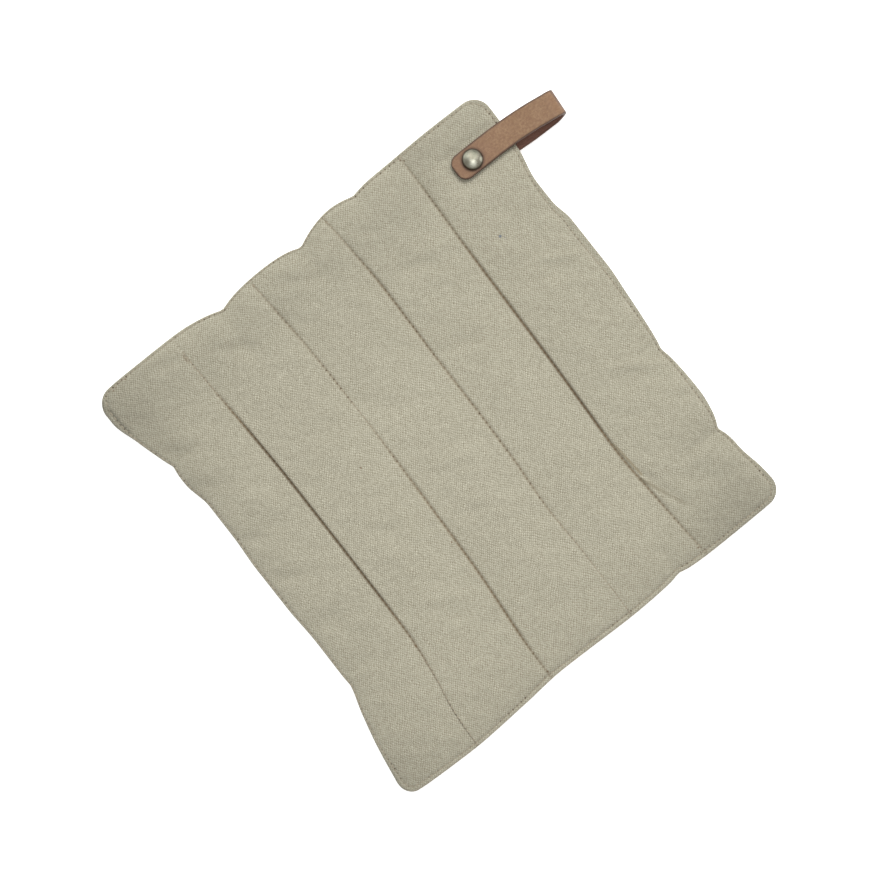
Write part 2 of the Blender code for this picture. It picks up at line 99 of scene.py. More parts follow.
# Quilting lines: (place along the line, then where lines 1 to 4 cross the pad there)
QUILTING_LINES = [
    (-105, -65.9, -23.8, 19.0, 59.7),
    (-88, -64.7, -23.4, 19.2, 58.4),
    (-70, -61.6, -22.0, 19.3, 57.4),
    (-50, -59.6, -20.4, 18.9, 56.5),
    (-25, -59.2, -19.4, 20.4, 57.4),
    (0, -59.0, -18.6, 21.2, 58.4),
    (30, -58.9, -17.9, 21.5, 59.2),
    (50, -59.3, -17.9, 22.0, 59.7),
    (66, -59.8, -18.2, 22.3, 60.2),
    (85, -60.4, -19.0, 21.6, 61.0),
    (105, -60.8, -20.1, 20.5, 61.5),
]

# Fullness, how far each channel's front swells above its seams: (place along, then channels 1 to 5)
FULLNESS = [
    (-105, 2.3, 2.6, 2.7, 2.5, 2.5),
    (-60, 2.7, 3.0, 3.1, 2.8, 2.9),
    (-20, 3.0, 3.1, 3.0, 3.0, 3.1),
    (20, 3.1, 3.0, 2.9, 3.0, 3.0),
    (60, 2.9, 2.8, 2.7, 2.9, 2.4),
    (105, 2.4, 2.3, 2.4, 2.5, 1.8),
]

# Depth of the front's soft valleys along each quilting line: (place along, then lines 1 to 4)
VALLEYS = [
    (-105, 0.1, 0.4, 0.3, 0.7),
    (-80, 0.25, 0.4, 0.4, 1.1),
    (-65, 0.35, 0.5, 0.5, 1.2),
    (-48, 0.45, 0.6, 0.4, 0.9),
    (-29, 0.45, 0.5, 0.5, 0.9),
    (0, 0.4, 0.5, 0.7, 0.9),
    (29, 0.45, 0.4, 0.7, 0.8),
    (49, 0.4, 0.6, 0.9, 0.8),
    (66, 0.4, 1.1, 1.3, 1.1),
    (85, 0.4, 1.5, 1.5, 1.5),
    (105, 0.5, 1.7, 1.8, 1.6),
]
# The share of a valley that lies left of its line as well: (place along, share)
LEFT_VALLEYS = [(-105, 0.8), (40, 0.8), (66, 0.6), (105, 0.5)]
# Painted shade: soft darker patches, and painted light where the share is below nought: ends of a stroke,
# half width, share of the light lost (below nought: gained)
SHADES = [
    (-103.0, 104.0, -90.0, 95.0, 17.0, 0.2),
    (98.0, -104.0, 76.0, -100.0, 18.0, 0.155),
    (90.0, -68.0, 90.0, -88.0, 11.0, 0.06),
    (-96.0, -104.0, -98.0, -96.0, 13.0, 0.08),
    (-65.0, 88.0, 38.0, 88.0, 14.0, 0.07),
    (50.0, 90.0, 66.0, 92.0, 12.0, 0.04),
    (66.0, 102.0, 98.0, 101.0, 7.5, 0.12),
    (-52.0, 90.0, -42.0, 88.0, 7.0, 0.03),
    (-12.0, 95.0, -2.0, 92.0, 6.0, 0.035),
    (-88.0, -92.0, -82.0, -94.0, 8.0, 0.025),
    (96.0, -60.0, 96.0, 60.0, 10.0, 0.04),
    (-92.0, 80.0, -88.0, 50.0, 10.0, 0.06),
    (-100.2, 98.5, -99.4, 85.0, 1.1, 0.25),
    (-40.0, -70.0, -20.0, 20.0, 20.0, -0.04),
    (10.0, -60.0, 10.0, 20.0, 16.0, -0.04),
    (47.0, -80.0, 47.0, 20.0, 12.0, -0.03),
]
# Depth of the tight crease at the stitches, under its valley: (place along, then lines 1 to 4)
CREASES = [
    (-105, 0.0, 0.3, 0.0, 0.2),
    (-94, 0.0, 0.6, 0.0, 0.3),
    (-80, 0.15, 1.3, 0.02, 0.5),
    (-65, 0.5, 1.15, 0.08, 0.9),
    (-48, 1.2, 1.0, 0.25, 1.3),
    (-29, 2.4, 0.9, 0.5, 2.3),
    (-10, 2.3, 0.7, 0.5, 2.2),
    (9, 2.4, 0.42, 0.55, 2.0),
    (29, 2.5, 0.02, 0.6, 1.7),
    (49, 2.2, 0.25, 0.7, 1.4),
    (66, 0.95, 0.22, 0.75, 0.6),
    (80, 0.04, 0.35, 0.5, 0.5),
    (94, 0.05, 0.1, 0.2, 0.15),
    (105, 0.0, 0.05, 0.05, 0.05),
]
BACK_VALLEYS = [(-105, 0.9, 0.9, 0.9, 0.9), (0, 0.7, 0.8, 0.6, 0.7), (105, 1.0, 0.9, 1.0, 1.0)]
BACK_CREASES = [
    (-105, 0.4, 0.4, 0.6, 0.4),
    (-60, 1.0, 0.8, 1.0, 0.9),
    (0, 1.4, 1.3, 1.2, 1.6),
    (60, 0.8, 1.2, 1.0, 0.9),
    (105, 0.4, 0.5, 0.4, 0.5),
]
CREASE_SHARE = 0.55  # the part of that depth that is form, as the rest is painted into the colour as dirt and painted shade
CREASE_HALF = 0.9  # half width of the shallowest crease
CREASE_LEAST = 0.5  # and that of the narrowest
CREASE_NARROWING = 0.16  # how much narrower it gets for each mm of depth
CREASE_RISE = 1.5  # the larger, the sooner a crease has its full depth, in from the topstitching
CREASE_SOIL_SHADE_DEPTH = 0.55  # depth at which its painted dirt and shade has nearly two thirds of its full strength
CREASE_CORE = 0.65  # half width of that painted dirt and shade

# Soft troughs and ridges of the front: (start across, along, end across, along, half width, height)
FOLDS = [
    (57.2, -56.0, 67.5, -90.0, 1.3, -1.2),
    (66.0, -70.0, 92.0, -90.0, 5.0, -1.1),
    (72.0, -16.0, 99.0, -33.5, 1.8, 0.8),
    (74.0, -25.0, 96.0, -40.0, 3.0, -0.6),
    (78.0, 37.0, 99.0, 25.0, 1.8, 0.8),
    (78.0, 30.0, 97.0, 18.0, 3.0, -0.6),
    (-48.0, -46.0, -28.0, -59.0, 2.4, 0.6),
    (-46.0, -56.0, -30.0, -66.0, 3.0, -0.5),
    (-57.0, 95.0, -32.0, 78.0, 3.2, -0.9),
    (-41.0, 88.0, -37.0, 76.0, 3.0, -0.7),
    (-36.0, 73.0, -20.0, 64.0, 4.0, 0.6),
    (-18.0, 98.0, 12.0, 82.0, 3.0, -0.9),
    (0.0, 76.0, 19.0, 66.0, 4.0, 0.5),
    (23.0, 97.0, 36.0, 84.0, 3.2, -0.8),
    (27.0, 69.0, 46.0, 62.0, 3.0, -0.7),
    (38.0, 70.0, 56.0, 63.0, 3.0, 0.6),
    (-79.0, 99.5, -60.0, 95.5, 2.6, -1.3),
    (-97.0, 69.0, -80.0, 61.0, 2.8, -0.9),
    (-94.0, 48.0, -76.0, 42.0, 3.2, -0.7),
    (-80.0, 40.0, -66.0, 16.0, 5.0, 0.7),
    (-94.0, 21.0, -78.0, 13.0, 3.2, -0.8),
    (-94.0, 0.0, -72.0, -10.0, 3.2, -0.9),
    (-81.0, -11.0, -67.0, -28.0, 5.0, 0.6),
    (-93.0, -24.0, -76.0, -33.0, 3.2, -0.8),
    (-90.0, -52.0, -76.0, -50.0, 3.0, -0.6),
    (-52.0, -16.0, -36.0, -30.0, 5.0, 0.6),
    (-50.0, -8.0, -33.0, -18.0, 3.4, -0.6),
    (-20.0, 42.0, 0.0, 18.0, 4.0, -0.7),
    (-12.0, -3.0, 10.0, -12.0, 2.6, 0.4),
    (-14.0, -27.0, 6.0, -35.0, 3.0, -0.4),
    (22.0, 34.0, 42.0, 22.0, 4.0, -0.6),
    (48.0, 42.0, 57.0, 8.0, 4.0, 0.4),
    (99.0, -22.0, 90.0, -23.0, 2.0, -0.7),
    (99.0, -48.0, 90.0, -47.0, 2.0, -0.7),
    (100.0, 31.5, 92.0, 30.0, 2.0, -0.6),
    (-100.0, 92.0, -88.0, 82.0, 3.0, -0.8),
    (-86.0, 103.0, -74.0, 88.0, 4.0, -0.7),
]

# Leather loop: one strip, folded over the pad's edge
STRAP_WIDTH = 11.6
STRAP_THICKNESS = 2.0
TONGUE_END = 75.8  # where both tongues end, across the pad
TONGUE_CORNER = 4.3  # radius of the tongues' corners
FOLD_MIDDLE = 123.1  # where the legs turn into the fold
FRONT_TONGUE = 8.3  # heights of the strip's middle: at each tongue, then where each leg meets the fold
BACK_TONGUE = 3.1
FOLD_TOP = 10.3
FOLD_BOTTOM = 1.3
# Middle of each leg, from its tongue to the fold: (across, along, height)
FRONT_LEG = [(75.8, 85.4, FRONT_TONGUE), (94, 85.4, FRONT_TONGUE), (104, 85.1, 8.6),
             (114, 84.2, 9.7), (FOLD_MIDDLE, 82.9, FOLD_TOP)]
BACK_LEG = [(75.8, 86.8, BACK_TONGUE), (84.7, 85.3, BACK_TONGUE), (95, 83.4, BACK_TONGUE),
            (104, 82.2, 2.7), (114, 81.7, 1.8), (FOLD_MIDDLE, 81.6, FOLD_BOTTOM)]
FOLD_SHADE_START = 127.3  # how far across the pad the bend starts to get painted shade, where it turns away
STRAP_EDGE = 0.5  # radius of the strip's rubbed edges
STRAP_WORN = 1.3  # width of the band along the edges that gets darker
STRAP_SPACING = 0.8
FLESH_SHIFT = 20.0  # how far the inner side's map lies from the grain side's

# Rivet
RIVET_PLACE = (84.7, 85.3)
RIVET_CAP_RADIUS = 4.5
FRONT_CAP_HEIGHT = 2.6
BACK_CAP_HEIGHT = 1.6
RIVET_LIP = 0.28  # radius of the cap's rolled edge
RIVET_ROLL = 0.62 * pi  # how far that edge turns
RIVET_ROUND = 2.3  # the larger, the flatter the crown's top
RIVET_FALL = 0.62  # the smaller, the steeper the crown falls at its edge
RIVET_TIP = 0.02  # the crown's last ring, as a share of its radius
RIVET_HOLE = 0.3  # radius of the underside's first ring
RIVET_SIDES = 64
POST_RADIUS = 1.5
GAP = 0.3  # between the strap, the pad and the rivet's caps

# Pad pinched under the tongues
PINCH_TOP = FRONT_TONGUE - STRAP_THICKNESS / 2 - GAP
PINCH_BOTTOM = BACK_TONGUE + STRAP_THICKNESS / 2 + GAP
PINCH_MARGIN = 1.6  # how far beside a leg the cloth is still pressed flat
PINCH_SLOPE = 0.4  # how much further it may swell for each mm away from there
PINCH_BLEND = 1.5  # heights this close are rounded into each other
PINCH_LIFT = 2.8  # how far the cloth is lifted round the loop
PINCH_LIFT_PLACE = (94.7, 85.3)
PINCH_LIFT_REACH = 40.0  # distance from there at which a third of the lift is left

# Cover's grid, in nominal mm: distances in from the rim, and away from each quilting line
RIM_STEPS = (0.0, 0.12, 0.3, 0.6, 1.0, 1.5, 2.0, 2.5, 3.0, 3.7, 4.7)
LINE_STEPS = (0.0, 0.25, 0.45, 0.65, 0.95, 1.4, 2.0, 3.0)
COLUMN_SPACING = 1.8
ROW_SPACING = 0.8
EDGE_GROOVE = 0.4  # depth of the groove where the two cloths meet round the edge

# Cloth simulation
SIM_RIM_STEPS = (0.0, 1.2, 2.5)
SIM_SPACING = 2.4  # of the coarser grid that is blown up
SIM_START = 0.97  # the filling's share of its full height at the start
SIM_FRAMES = 20
SIM_CAP = 2.5  # the furthest that a point may move
SIM_HOLD = 1.5  # cloth closer than this to the strap's pinch is held
SIM_SEWN = 1.8  # cloth closer than this to a quilting line is held too
SIM_CLOTH = {
    "quality": 6,
    "mass": 0.3,
    "tension_stiffness": 25,
    "compression_stiffness": 25,
    "shear_stiffness": 10,
    "bending_stiffness": 1.0,
    "use_pressure": True,
    "uniform_pressure_force": 3.0,
    "vertex_group_mass": "sewn",
}

# Sewing
STITCH_PITCH = 2.4
SEAM_STEPS = 900  # places worked out along each side of the topstitching, and along each quilting line
STITCH_SPACE = 0.12  # between one stitch and the next, at their shared hole
STITCH_RINGS = np.array([0.0, 0.14, 0.32, 0.5, 0.68, 0.86, 1.0])  # shares of its length
STITCH_SIDES = 6
STITCH_SWAY = 0.07  # how far a stitch's ends stray sideways, by chance
THREAD_RADIUS = 0.22
THREAD_UNEVEN = 0.06  # the share by which its radius varies, by chance
THREAD_FLAT = (1.15, 0.85)  # its width and height, as shares of a round thread's
THREAD_PROUD = 0.1  # height of a stitch's middle line above the cloth
THREAD_DEEP = 0.45  # depth of its ends
THREAD_SINK = 0.4  # how much deeper the stitches lie in the deepest creases
HOLE_RADIUS = 0.5
HOLE_DEPTH = 0.15
SEAM_FAR = 10.0  # distance given to points that no seam is near
# Ends of the quilting lines 1 to 4: (lower, upper)
LINE_ENDS = [(-104.5, 97.0), (-103.0, 101.5), (-103.5, 103.5), (-102.5, 104.0)]

# Colours, as light reflected in red, green and blue
CANVAS_LIGHT = (0.440, 0.416, 0.321)
CANVAS_DARK = (0.338, 0.313, 0.234)
# Painted shade in the gaps between the weave's threads
CANVAS_GAP_SHADE = (0.19, 0.165, 0.115)
# Painted shadow in the needle's holes
CANVAS_HOLE_SHADOW = (0.10, 0.07, 0.04)
# Brown dirt and painted shade in the creases
CANVAS_SEAM_SOIL_SHADE = (0.165, 0.115, 0.062)
# Painted shade for the sharp creases' strokes: a crease's inner slope, then a fold
CANVAS_PAINTED_CREASE_SLOPE = (0.285, 0.235, 0.148)
CANVAS_FOLD_SHADE = (0.18, 0.15, 0.095)
THREAD_PALE = (0.37, 0.33, 0.245)
THREAD_BROWN = (0.25, 0.19, 0.12)
QUILTING_BROWN = (0.1, 0.6)  # share of brown where the cloth is clean, and in the deepest creases, as it follows their dirt and painted shade
# Painted shadow where a thread dives into its hole
THREAD_HOLE_SHADOW = (0.05, 0.035, 0.022)
LEATHER_TAN = (0.255, 0.145, 0.070)
LEATHER_PALE = (0.33, 0.205, 0.109)
LEATHER_RED = (0.195, 0.097, 0.053)
LEATHER_EDGE = (0.071, 0.036, 0.022)
FLESH_COLOUR = (0.167, 0.079, 0.054)
FLESH_FIBRE = (0.27, 0.14, 0.10)
NICKEL = (0.375, 0.37, 0.295)
NICKEL_STAINED = (0.25, 0.208, 0.15)
# Painted shadow where the cap's edge rolls under
NICKEL_RING_SHADOW = (0.05, 0.035, 0.022)
NICKEL_RING_SHADOW_BAND = (3.6, 4.3)  # where that painted shadow ring starts and is full, out from the middle
# Painted reflections on the cap, dark and bright: place from its middle, radius, colour and strength
NICKEL_PAINTED_REFLECTIONS = [
    (0.5, 0.2, 1.8, (0.26, 0.25, 0.19), 0.6),
    (1.9, 1.5, 2.2, (0.12, 0.12, 0.09), 0.9),
    (-1.4, 2.9, 1.5, (0.70, 0.70, 0.56), 0.7),
    (-2.9, 0.4, 1.6, (0.18, 0.16, 0.11), 0.45),
    (-0.9, -1.8, 1.9, (0.88, 0.88, 0.73), 0.9),
    (3.0, -2.3, 1.4, (0.85, 0.84, 0.68), 0.9),
]
MARK_BLUE = (0.16, 0.18, 0.20)
MARK_BROWN = (0.16, 0.10, 0.05)
# Painted shade of the turned edge: the share of the light that it loses on the left, right, lower and upper
# side
RIM_SHADES = (0.22, 0.1, 0.05, 0.0)
RIM_BAND = 1.5  # width of that band of painted shade
# Small marks on the front: place across and along, half width and half length, colour and strength
MARKS = [
    (74.0, 53.0, 0.7, 0.65, MARK_BLUE, 1.0),
    (75.3, 51.4, 0.3, 1.3, MARK_BLUE, 0.25),
    (-32.0, 13.0, 0.45, 0.45, MARK_BROWN, 0.8),
    (-21.4, -35.0, 0.4, 0.4, MARK_BROWN, 0.8),
    (-60.3, -59.8, 0.4, 1.1, MARK_BROWN, 0.7),
    (-61.5, 94.5, 0.5, 2.4, MARK_BROWN, 0.4),
    (-20.0, 101.0, 0.5, 1.0, MARK_BROWN, 0.5),
    (20.5, 103.0, 0.5, 1.0, MARK_BROWN, 0.5),
    (61.0, 104.2, 0.5, 0.5, MARK_BROWN, 0.7),
    (62.2, 103.0, 0.4, 0.5, MARK_BROWN, 0.6),
    (-26.0, -104.0, 0.45, 0.35, MARK_BROWN, 0.7),
    (-24.2, -104.3, 0.45, 0.35, MARK_BROWN, 0.6),
    (-23.4, -102.6, 0.4, 0.5, MARK_BROWN, 0.7),
    (-21.8, -104.1, 0.45, 0.35, MARK_BROWN, 0.6),
    (58.4, -101.0, 0.5, 0.45, MARK_BROWN, 0.8),
    (58.0, -103.2, 0.4, 0.4, MARK_BROWN, 0.6),
    (60.3, -103.4, 0.5, 0.4, MARK_BROWN, 0.7),
    (62.3, -103.2, 0.4, 0.4, MARK_BROWN, 0.6),
    (-93.6, 102.9, 0.5, 0.4, MARK_BROWN, 0.8),
    (-92.0, 103.3, 0.5, 0.35, MARK_BROWN, 0.7),
    (-90.0, 104.0, 0.6, 0.35, MARK_BROWN, 0.7),
    (-87.9, 104.4, 0.6, 0.35, MARK_BROWN, 0.8),
    (-86.6, 103.7, 0.35, 0.6, MARK_BROWN, 0.8),
]
MARK_HEIGHT = 7.0  # about the front's own height
MARK_FLAT = 0.2  # how much the height counts in a mark's reach, so that none shows on the back
# Painted shade of sharp narrow creases on the front: ends, half width, strength at the start and at the end,
# and colour
STROKES = [
    (57.4, -45.0, 58.7, -62.0, 0.6, 0.6, 0.85, CANVAS_PAINTED_CREASE_SLOPE),
    (57.2, -63.5, 64.8, -81.4, 0.85, 0.75, 0.25, CANVAS_FOLD_SHADE),
    (64.8, -81.4, 67.5, -88.0, 0.9, 0.25, 0.0, CANVAS_FOLD_SHADE),
]
WRINKLE_TURN = 0.65  # how far the faint wrinkles' length is turned from across the channels, in radians
WARP_PITCH = 0.573
WEFT_PITCH = 0.73

# Floor, camera and light: sizes in mm, lamps' places in metres, powers in watts
FLOOR_HALF = 2500.0
FLOOR_DROP = 0.1
FLOOR_TONE = 0.95
# Painted light: the floor's own glow
FLOOR_GLOW = 0.6
MAIN_LIGHT_PLACE = (1.0, 0.95, 1.75)
MAIN_LIGHT_SIZE = 1.1
MAIN_LIGHT_POWER = 37.0
SPOT_PLACE = (0.0, -0.03, 2.2)
SPOT_POWER = 63.0
SPOT_ANGLE = 0.22  # its cone's full angle, in radians
SPOT_RADIUS = 0.25
SKY_STRENGTH = 0.5
VIEW_ROLL = -38.3  # degrees that the camera turns about its line of sight
VIEW_CENTRE = (1.3, 1.65)
VIEW_WIDTH = 369.6  # what the picture takes in at the pad's middle height
VIEW_HEIGHT = 1050.0
PAD_MIDDLE = 5.0
SENSOR = 36.0


def smooth_curve(table, places, column=1):
    """Read a table's column at any place: a cubic through the rows that never swings past them."""
    rows = np.array(table, dtype=float)
    x, y = rows[:, 0], rows[:, column]
    slope = np.diff(y) / np.diff(x)
    before, after = slope[:-1], slope[1:]
    same_way = before * after > 0
    harmonic = 2 * before * after / np.where(same_way, before + after, 1.0)
    tangent = np.concatenate(([slope[0]], np.where(same_way, harmonic, 0.0), [slope[-1]]))
    at = np.clip(np.asarray(places, dtype=float), x[0], x[-1])
    row = np.clip(np.searchsorted(x, at, side="right") - 1, 0, len(x) - 2)
    step = x[row + 1] - x[row]
    t = (at - x[row]) / step
    return (
        (1 + 2 * t) * (1 - t) ** 2 * y[row]
        + t * (1 - t) ** 2 * step * tangent[row]
        + t**2 * (3 - 2 * t) * y[row + 1]
        + t**2 * (t - 1) * step * tangent[row + 1]
    )


# ---------------------------------------------------------------- the pad's form


def pucker_depth(puckers, along):
    """How far the puckers of one side draw it in: at each a rounded cusp, its depth times e to minus
    the distance over its reach."""
    total = np.zeros_like(along)
    for place, depth, reach in puckers:
        away = np.sqrt((along - place) ** 2 + 1) - 1
        total += depth * np.exp(-away / reach)
    return total


def side(table, puckers, along):
    """Distance of one side from the pad's middle: its curve less its puckers."""
    return smooth_curve(table, along) - pucker_depth(puckers, along)


def rounded(u, v):
    """Turn the grid's square corners into arcs: each ring of a corner square becomes a quarter circle."""
    a = (np.abs(u) - (1 - CORNER)) / CORNER
    b = (np.abs(v) - (1 - CORNER)) / CORNER
    corner = (a > 0) & (b > 0)
    shrink = np.where(corner, np.maximum(a, b) / np.where(corner, np.hypot(a, b), 1), 1)
    across = np.where(corner, 1 - CORNER + CORNER * a * shrink, np.abs(u))
    along = np.where(corner, 1 - CORNER + CORNER * b * shrink, np.abs(v))
    return np.sign(u) * across, np.sign(v) * along


def drawn_out(distance, inset):
    """Distance from a side once its topstitching lies at its own inset: the shift grows evenly from the
    edge to the stitches, then fades as a square over the reach."""
    t = np.clip((distance - TOPSTITCH_INSET) / (INSET_REACH - TOPSTITCH_INSET), 0, 1)
    share = np.where(distance < TOPSTITCH_INSET, distance / TOPSTITCH_INSET, (1 - t) ** 2)
    return distance - (TOPSTITCH_INSET - inset) * share


def stitched_in(u, v):
    """Shift the grid so that the topstitching runs nearer to the edge or farther, as on each side."""
    x, y = HALF_WIDTH * u, HALF_LENGTH * v
    from_side, from_end = edge_distance(u, v)
    side_inset = np.where(u > 0, smooth_curve(RIGHT_INSET, y), smooth_curve(LEFT_INSET, y))
    end_inset = np.where(v > 0, smooth_curve(TOP_INSET, x), smooth_curve(BOTTOM_INSET, x))
    across = 1 - drawn_out(from_side, side_inset) / HALF_WIDTH
    along = 1 - drawn_out(from_end, end_inset) / HALF_LENGTH
    return np.sign(u) * across, np.sign(v) * along


def plan(u, v):
    """Where the pad's point (u, v), each from -1 to 1, lies: across in its channel, then between the ends."""
    u, v = rounded(*stitched_in(u, v))
    along = HALF_LENGTH * v
    lines = [smooth_curve(QUILTING_LINES, along, line) for line in range(1, CHANNELS)]
    left = -side(LEFT_SIDE, LEFT_PUCKERS, along)
    right = side(RIGHT_SIDE, RIGHT_PUCKERS, along)
    columns = np.stack([left, *lines, right])
    place = (u + 1) / 2 * CHANNELS
    channel = np.clip(place.astype(int), 0, CHANNELS - 1)
    start = np.take_along_axis(columns, channel[None], 0)[0]
    end = np.take_along_axis(columns, channel[None] + 1, 0)[0]
    x = start + (end - start) * (place - channel)
    top = side(TOP_SIDE, TOP_PUCKERS, x)
    bottom = side(BOTTOM_SIDE, BOTTOM_PUCKERS, x)
    y = (1 + v) / 2 * top - (1 - v) / 2 * bottom
    return x, y


def swell(distance, reach, steep):
    """How full the filling is at a distance from a line of stitches: with t the distance over the reach,
    1 - (1 - t) to the power of the crown's roundness, and that to the power of the rise's steepness."""
    t = np.clip(distance / reach, 0, 1)
    return (1 - (1 - t) ** SWELL_ROUND) ** steep


def seam_distance(u):
    """Nominal distance from the nearest quilting line, and that line's number."""
    place = (u + 1) / 2 * CHANNELS
    line = np.clip(np.round(place), 1, CHANNELS - 1)
    return np.abs(place - line) * 2 * HALF_WIDTH / CHANNELS, line.astype(int)


def edge_distance(u, v):
    """Nominal distances from the nearest side and from the nearest end."""
    return (1 - np.abs(u)) * HALF_WIDTH, (1 - np.abs(v)) * HALF_LENGTH


def by_number(table, number, y):
    """Read a table at y, in the column that each point's number gives."""
    columns = np.stack([smooth_curve(table, y, column) for column in range(1, len(table[0]))])
    return np.take_along_axis(columns, number[None] - 1, 0)[0]


def crease_soil_and_shade(table, line, y):
    """How strongly a crease is painted with brown dirt and painted shade at each place, from 0 to 1: it nears
    1 exponentially with the depth.
    """
    return 1 - np.exp(-by_number(table, line, y) / CREASE_SOIL_SHADE_DEPTH)


def pucker_sink(x, y, from_side, from_end):
    """How much of the crown is lost where a pucker runs in from the rim."""
    ends = np.where(y > 0, pucker_depth(TOP_PUCKERS, x), pucker_depth(BOTTOM_PUCKERS, x))
    sides = np.where(x > 0, pucker_depth(RIGHT_PUCKERS, y), pucker_depth(LEFT_PUCKERS, y))
    depth = ends * np.exp(-from_end / PUCKER_REACH) + sides * np.exp(-from_side / PUCKER_REACH)
    return np.clip(PUCKER_SINK * depth, 0, PUCKER_MOST)


def crown(u, v, x, y, valleys, creases):
    """How far the filling lifts a cloth above its seams: the channel's fullness less its valley, times the
    swell from the topstitching, less the crease and what the puckers take. A crease's form is CREASE_SHARE
    of the depth that its table says at the stitches, as the rest is painted into the colour as dirt and
    painted shade, and 1 over 1 + t to the fourth of that beside them, t being the distance over its half
    width."""
    from_side, from_end = edge_distance(u, v)
    from_line, line = seam_distance(u)
    channel = np.clip(((u + 1) / 2 * CHANNELS).astype(int), 0, CHANNELS - 1) + 1
    depth = by_number(creases, line, y)
    valley = by_number(valleys, line, y)
    left_of = (u + 1) / 2 * CHANNELS < line
    share = np.where(left_of, smooth_curve(LEFT_VALLEYS, y), 1.0)
    edge = swell(from_side - TOPSTITCH_INSET, EDGE_SWELL, EDGE_STEEP)
    edge = edge * swell(from_end - TOPSTITCH_INSET, EDGE_SWELL, EDGE_STEEP)
    half = np.maximum(CREASE_HALF - CREASE_NARROWING * depth, CREASE_LEAST)
    crease = CREASE_SHARE * (depth + valley * (1 - share)) / (1 + (from_line / half) ** 4)
    valley = valley * share * (1 - swell(from_line, SWELL, SWELL_STEEP))
    full = (by_number(FULLNESS, channel, y) - valley) * edge * (1 - pucker_sink(x, y, from_side, from_end))
    return np.maximum(full - crease * np.minimum(1, edge * CREASE_RISE), 0)


def rim_half(distance):
    """Half the thickness outside the topstitching: a quarter circle, pressed down towards the stitches."""
    radius = RIM_THICKNESS / 2
    edge = np.sqrt(np.clip(radius**2 - np.clip(radius - distance, 0, radius) ** 2, 0, None))
    pressed = np.clip((distance - radius) / (TOPSTITCH_INSET - radius), 0, 1)
    return edge - (radius - SEAM_THICKNESS / 2) * pressed**2


def middle_height(x, y, inset):
    """Height of the sheet halfway between the pad's faces: low and wavy at the rim, lifted at the loop."""
    t = np.clip(inset / EDGE_SWELL, 0, 1)
    inside = t * t * (3 - 2 * t)
    waves = sum(height * np.sin(a * x + b * y + start) for height, a, b, start in RIM_WAVES)
    rim = np.maximum(RIM_MIDDLE + waves, RIM_THICKNESS / 2 + RIM_CLEARANCE)
    distance = np.hypot(x - PINCH_LIFT_PLACE[0], y - PINCH_LIFT_PLACE[1])
    lift = PINCH_LIFT * np.exp(-((distance / PINCH_LIFT_REACH) ** 2))
    return rim + (SEAM_MIDDLE - rim) * inside + lift


def stroke_sum(strokes, x, y):
    """Soft strokes added up: each a bell curve of the distance from its straight line."""
    total = np.zeros_like(x)
    for x0, y0, x1, y1, half, amount in strokes:
        along, up = x1 - x0, y1 - y0
        share = np.clip(((x - x0) * along + (y - y0) * up) / (along**2 + up**2), 0, 1)
        away = np.hypot(x - x0 - share * along, y - y0 - share * up)
        total += amount * np.exp(-((away / half) ** 2))
    return total


def fold_height(x, y):
    """Soft troughs and ridges, as listed: each a bell curve across its line, fading out at both ends."""
    total = np.zeros_like(x)
    for x0, y0, x1, y1, half, height in FOLDS:
        length = np.hypot(x1 - x0, y1 - y0)
        ahead = ((x - x0) * (x1 - x0) + (y - y0) * (y1 - y0)) / length
        beside = ((x - x0) * (y1 - y0) - (y - y0) * (x1 - x0)) / length
        fade = np.clip(1 - (2 * ahead / length - 1) ** 2, 0, 1)
        total += height * fade * np.exp(-((beside / half) ** 2))
    return total


def strap_distance(x, y, leg):
    """Distance from a leg's footprint on the pad, nought inside it."""
    beside = np.abs(y - smooth_curve(leg, x)) - STRAP_WIDTH / 2 - PINCH_MARGIN
    before = TONGUE_END - PINCH_MARGIN - x
    return np.hypot(np.clip(beside, 0, None), np.clip(before, 0, None))


def front_limit(x, y):
    """The highest that the front may reach under and beside the front tongue."""
    return PINCH_TOP + PINCH_SLOPE * strap_distance(x, y, FRONT_LEG)


def back_limit(x, y):
    """The lowest that the back may reach over and beside the back tongue."""
    return PINCH_BOTTOM - PINCH_SLOPE * strap_distance(x, y, BACK_LEG)


def soft_min(a, b):
    """The lower of two heights, with the crease where they cross rounded off."""
    h = np.clip(PINCH_BLEND - np.abs(a - b), 0, None) / PINCH_BLEND
    return np.minimum(a, b) - h * h * PINCH_BLEND / 4


def cloths(u, v, full):
    """Points of the pad's front and back cloth at (u, v), before the strap pinches them, with the filling
    at a share of its height. Each is the middle sheet's height, plus or minus half the seam's thickness
    and the crown."""
    x, y = plan(u, v)
    inset = np.minimum(*edge_distance(u, v))
    half = np.where(inset < TOPSTITCH_INSET, rim_half(inset), SEAM_THICKNESS / 2)
    middle = middle_height(x, y, inset)
    front = middle + half + full * crown(u, v, x, y, VALLEYS, CREASES)
    back = middle - half - full * BACK_SWELL * crown(u, v, x, y, BACK_VALLEYS, BACK_CREASES)
    front += fold_height(x, y) * np.clip((inset - TOPSTITCH_INSET) / TOPSTITCH_INSET, 0, 1)
    return np.stack([x, y, front], axis=-1), np.stack([x, y, back], axis=-1)


def pinched(front, back):
    """Press both cloths flat under the tongues, and the back flat on what the pad rests on."""
    front, back = front.copy(), back.copy()
    front[..., 2] = soft_min(front[..., 2], front_limit(front[..., 0], front[..., 1]))
    back[..., 2] = -soft_min(-back[..., 2], -back_limit(back[..., 0], back[..., 1]))
    back[..., 2] = np.maximum(back[..., 2], 0)
    return front, back


# ---------------------------------------------------------------- grids and meshes


def stations(start, end, spacing):
    """Evenly spaced places from start to end, both ends among them."""
    return np.linspace(start, end, round((end - start) / spacing) + 1)


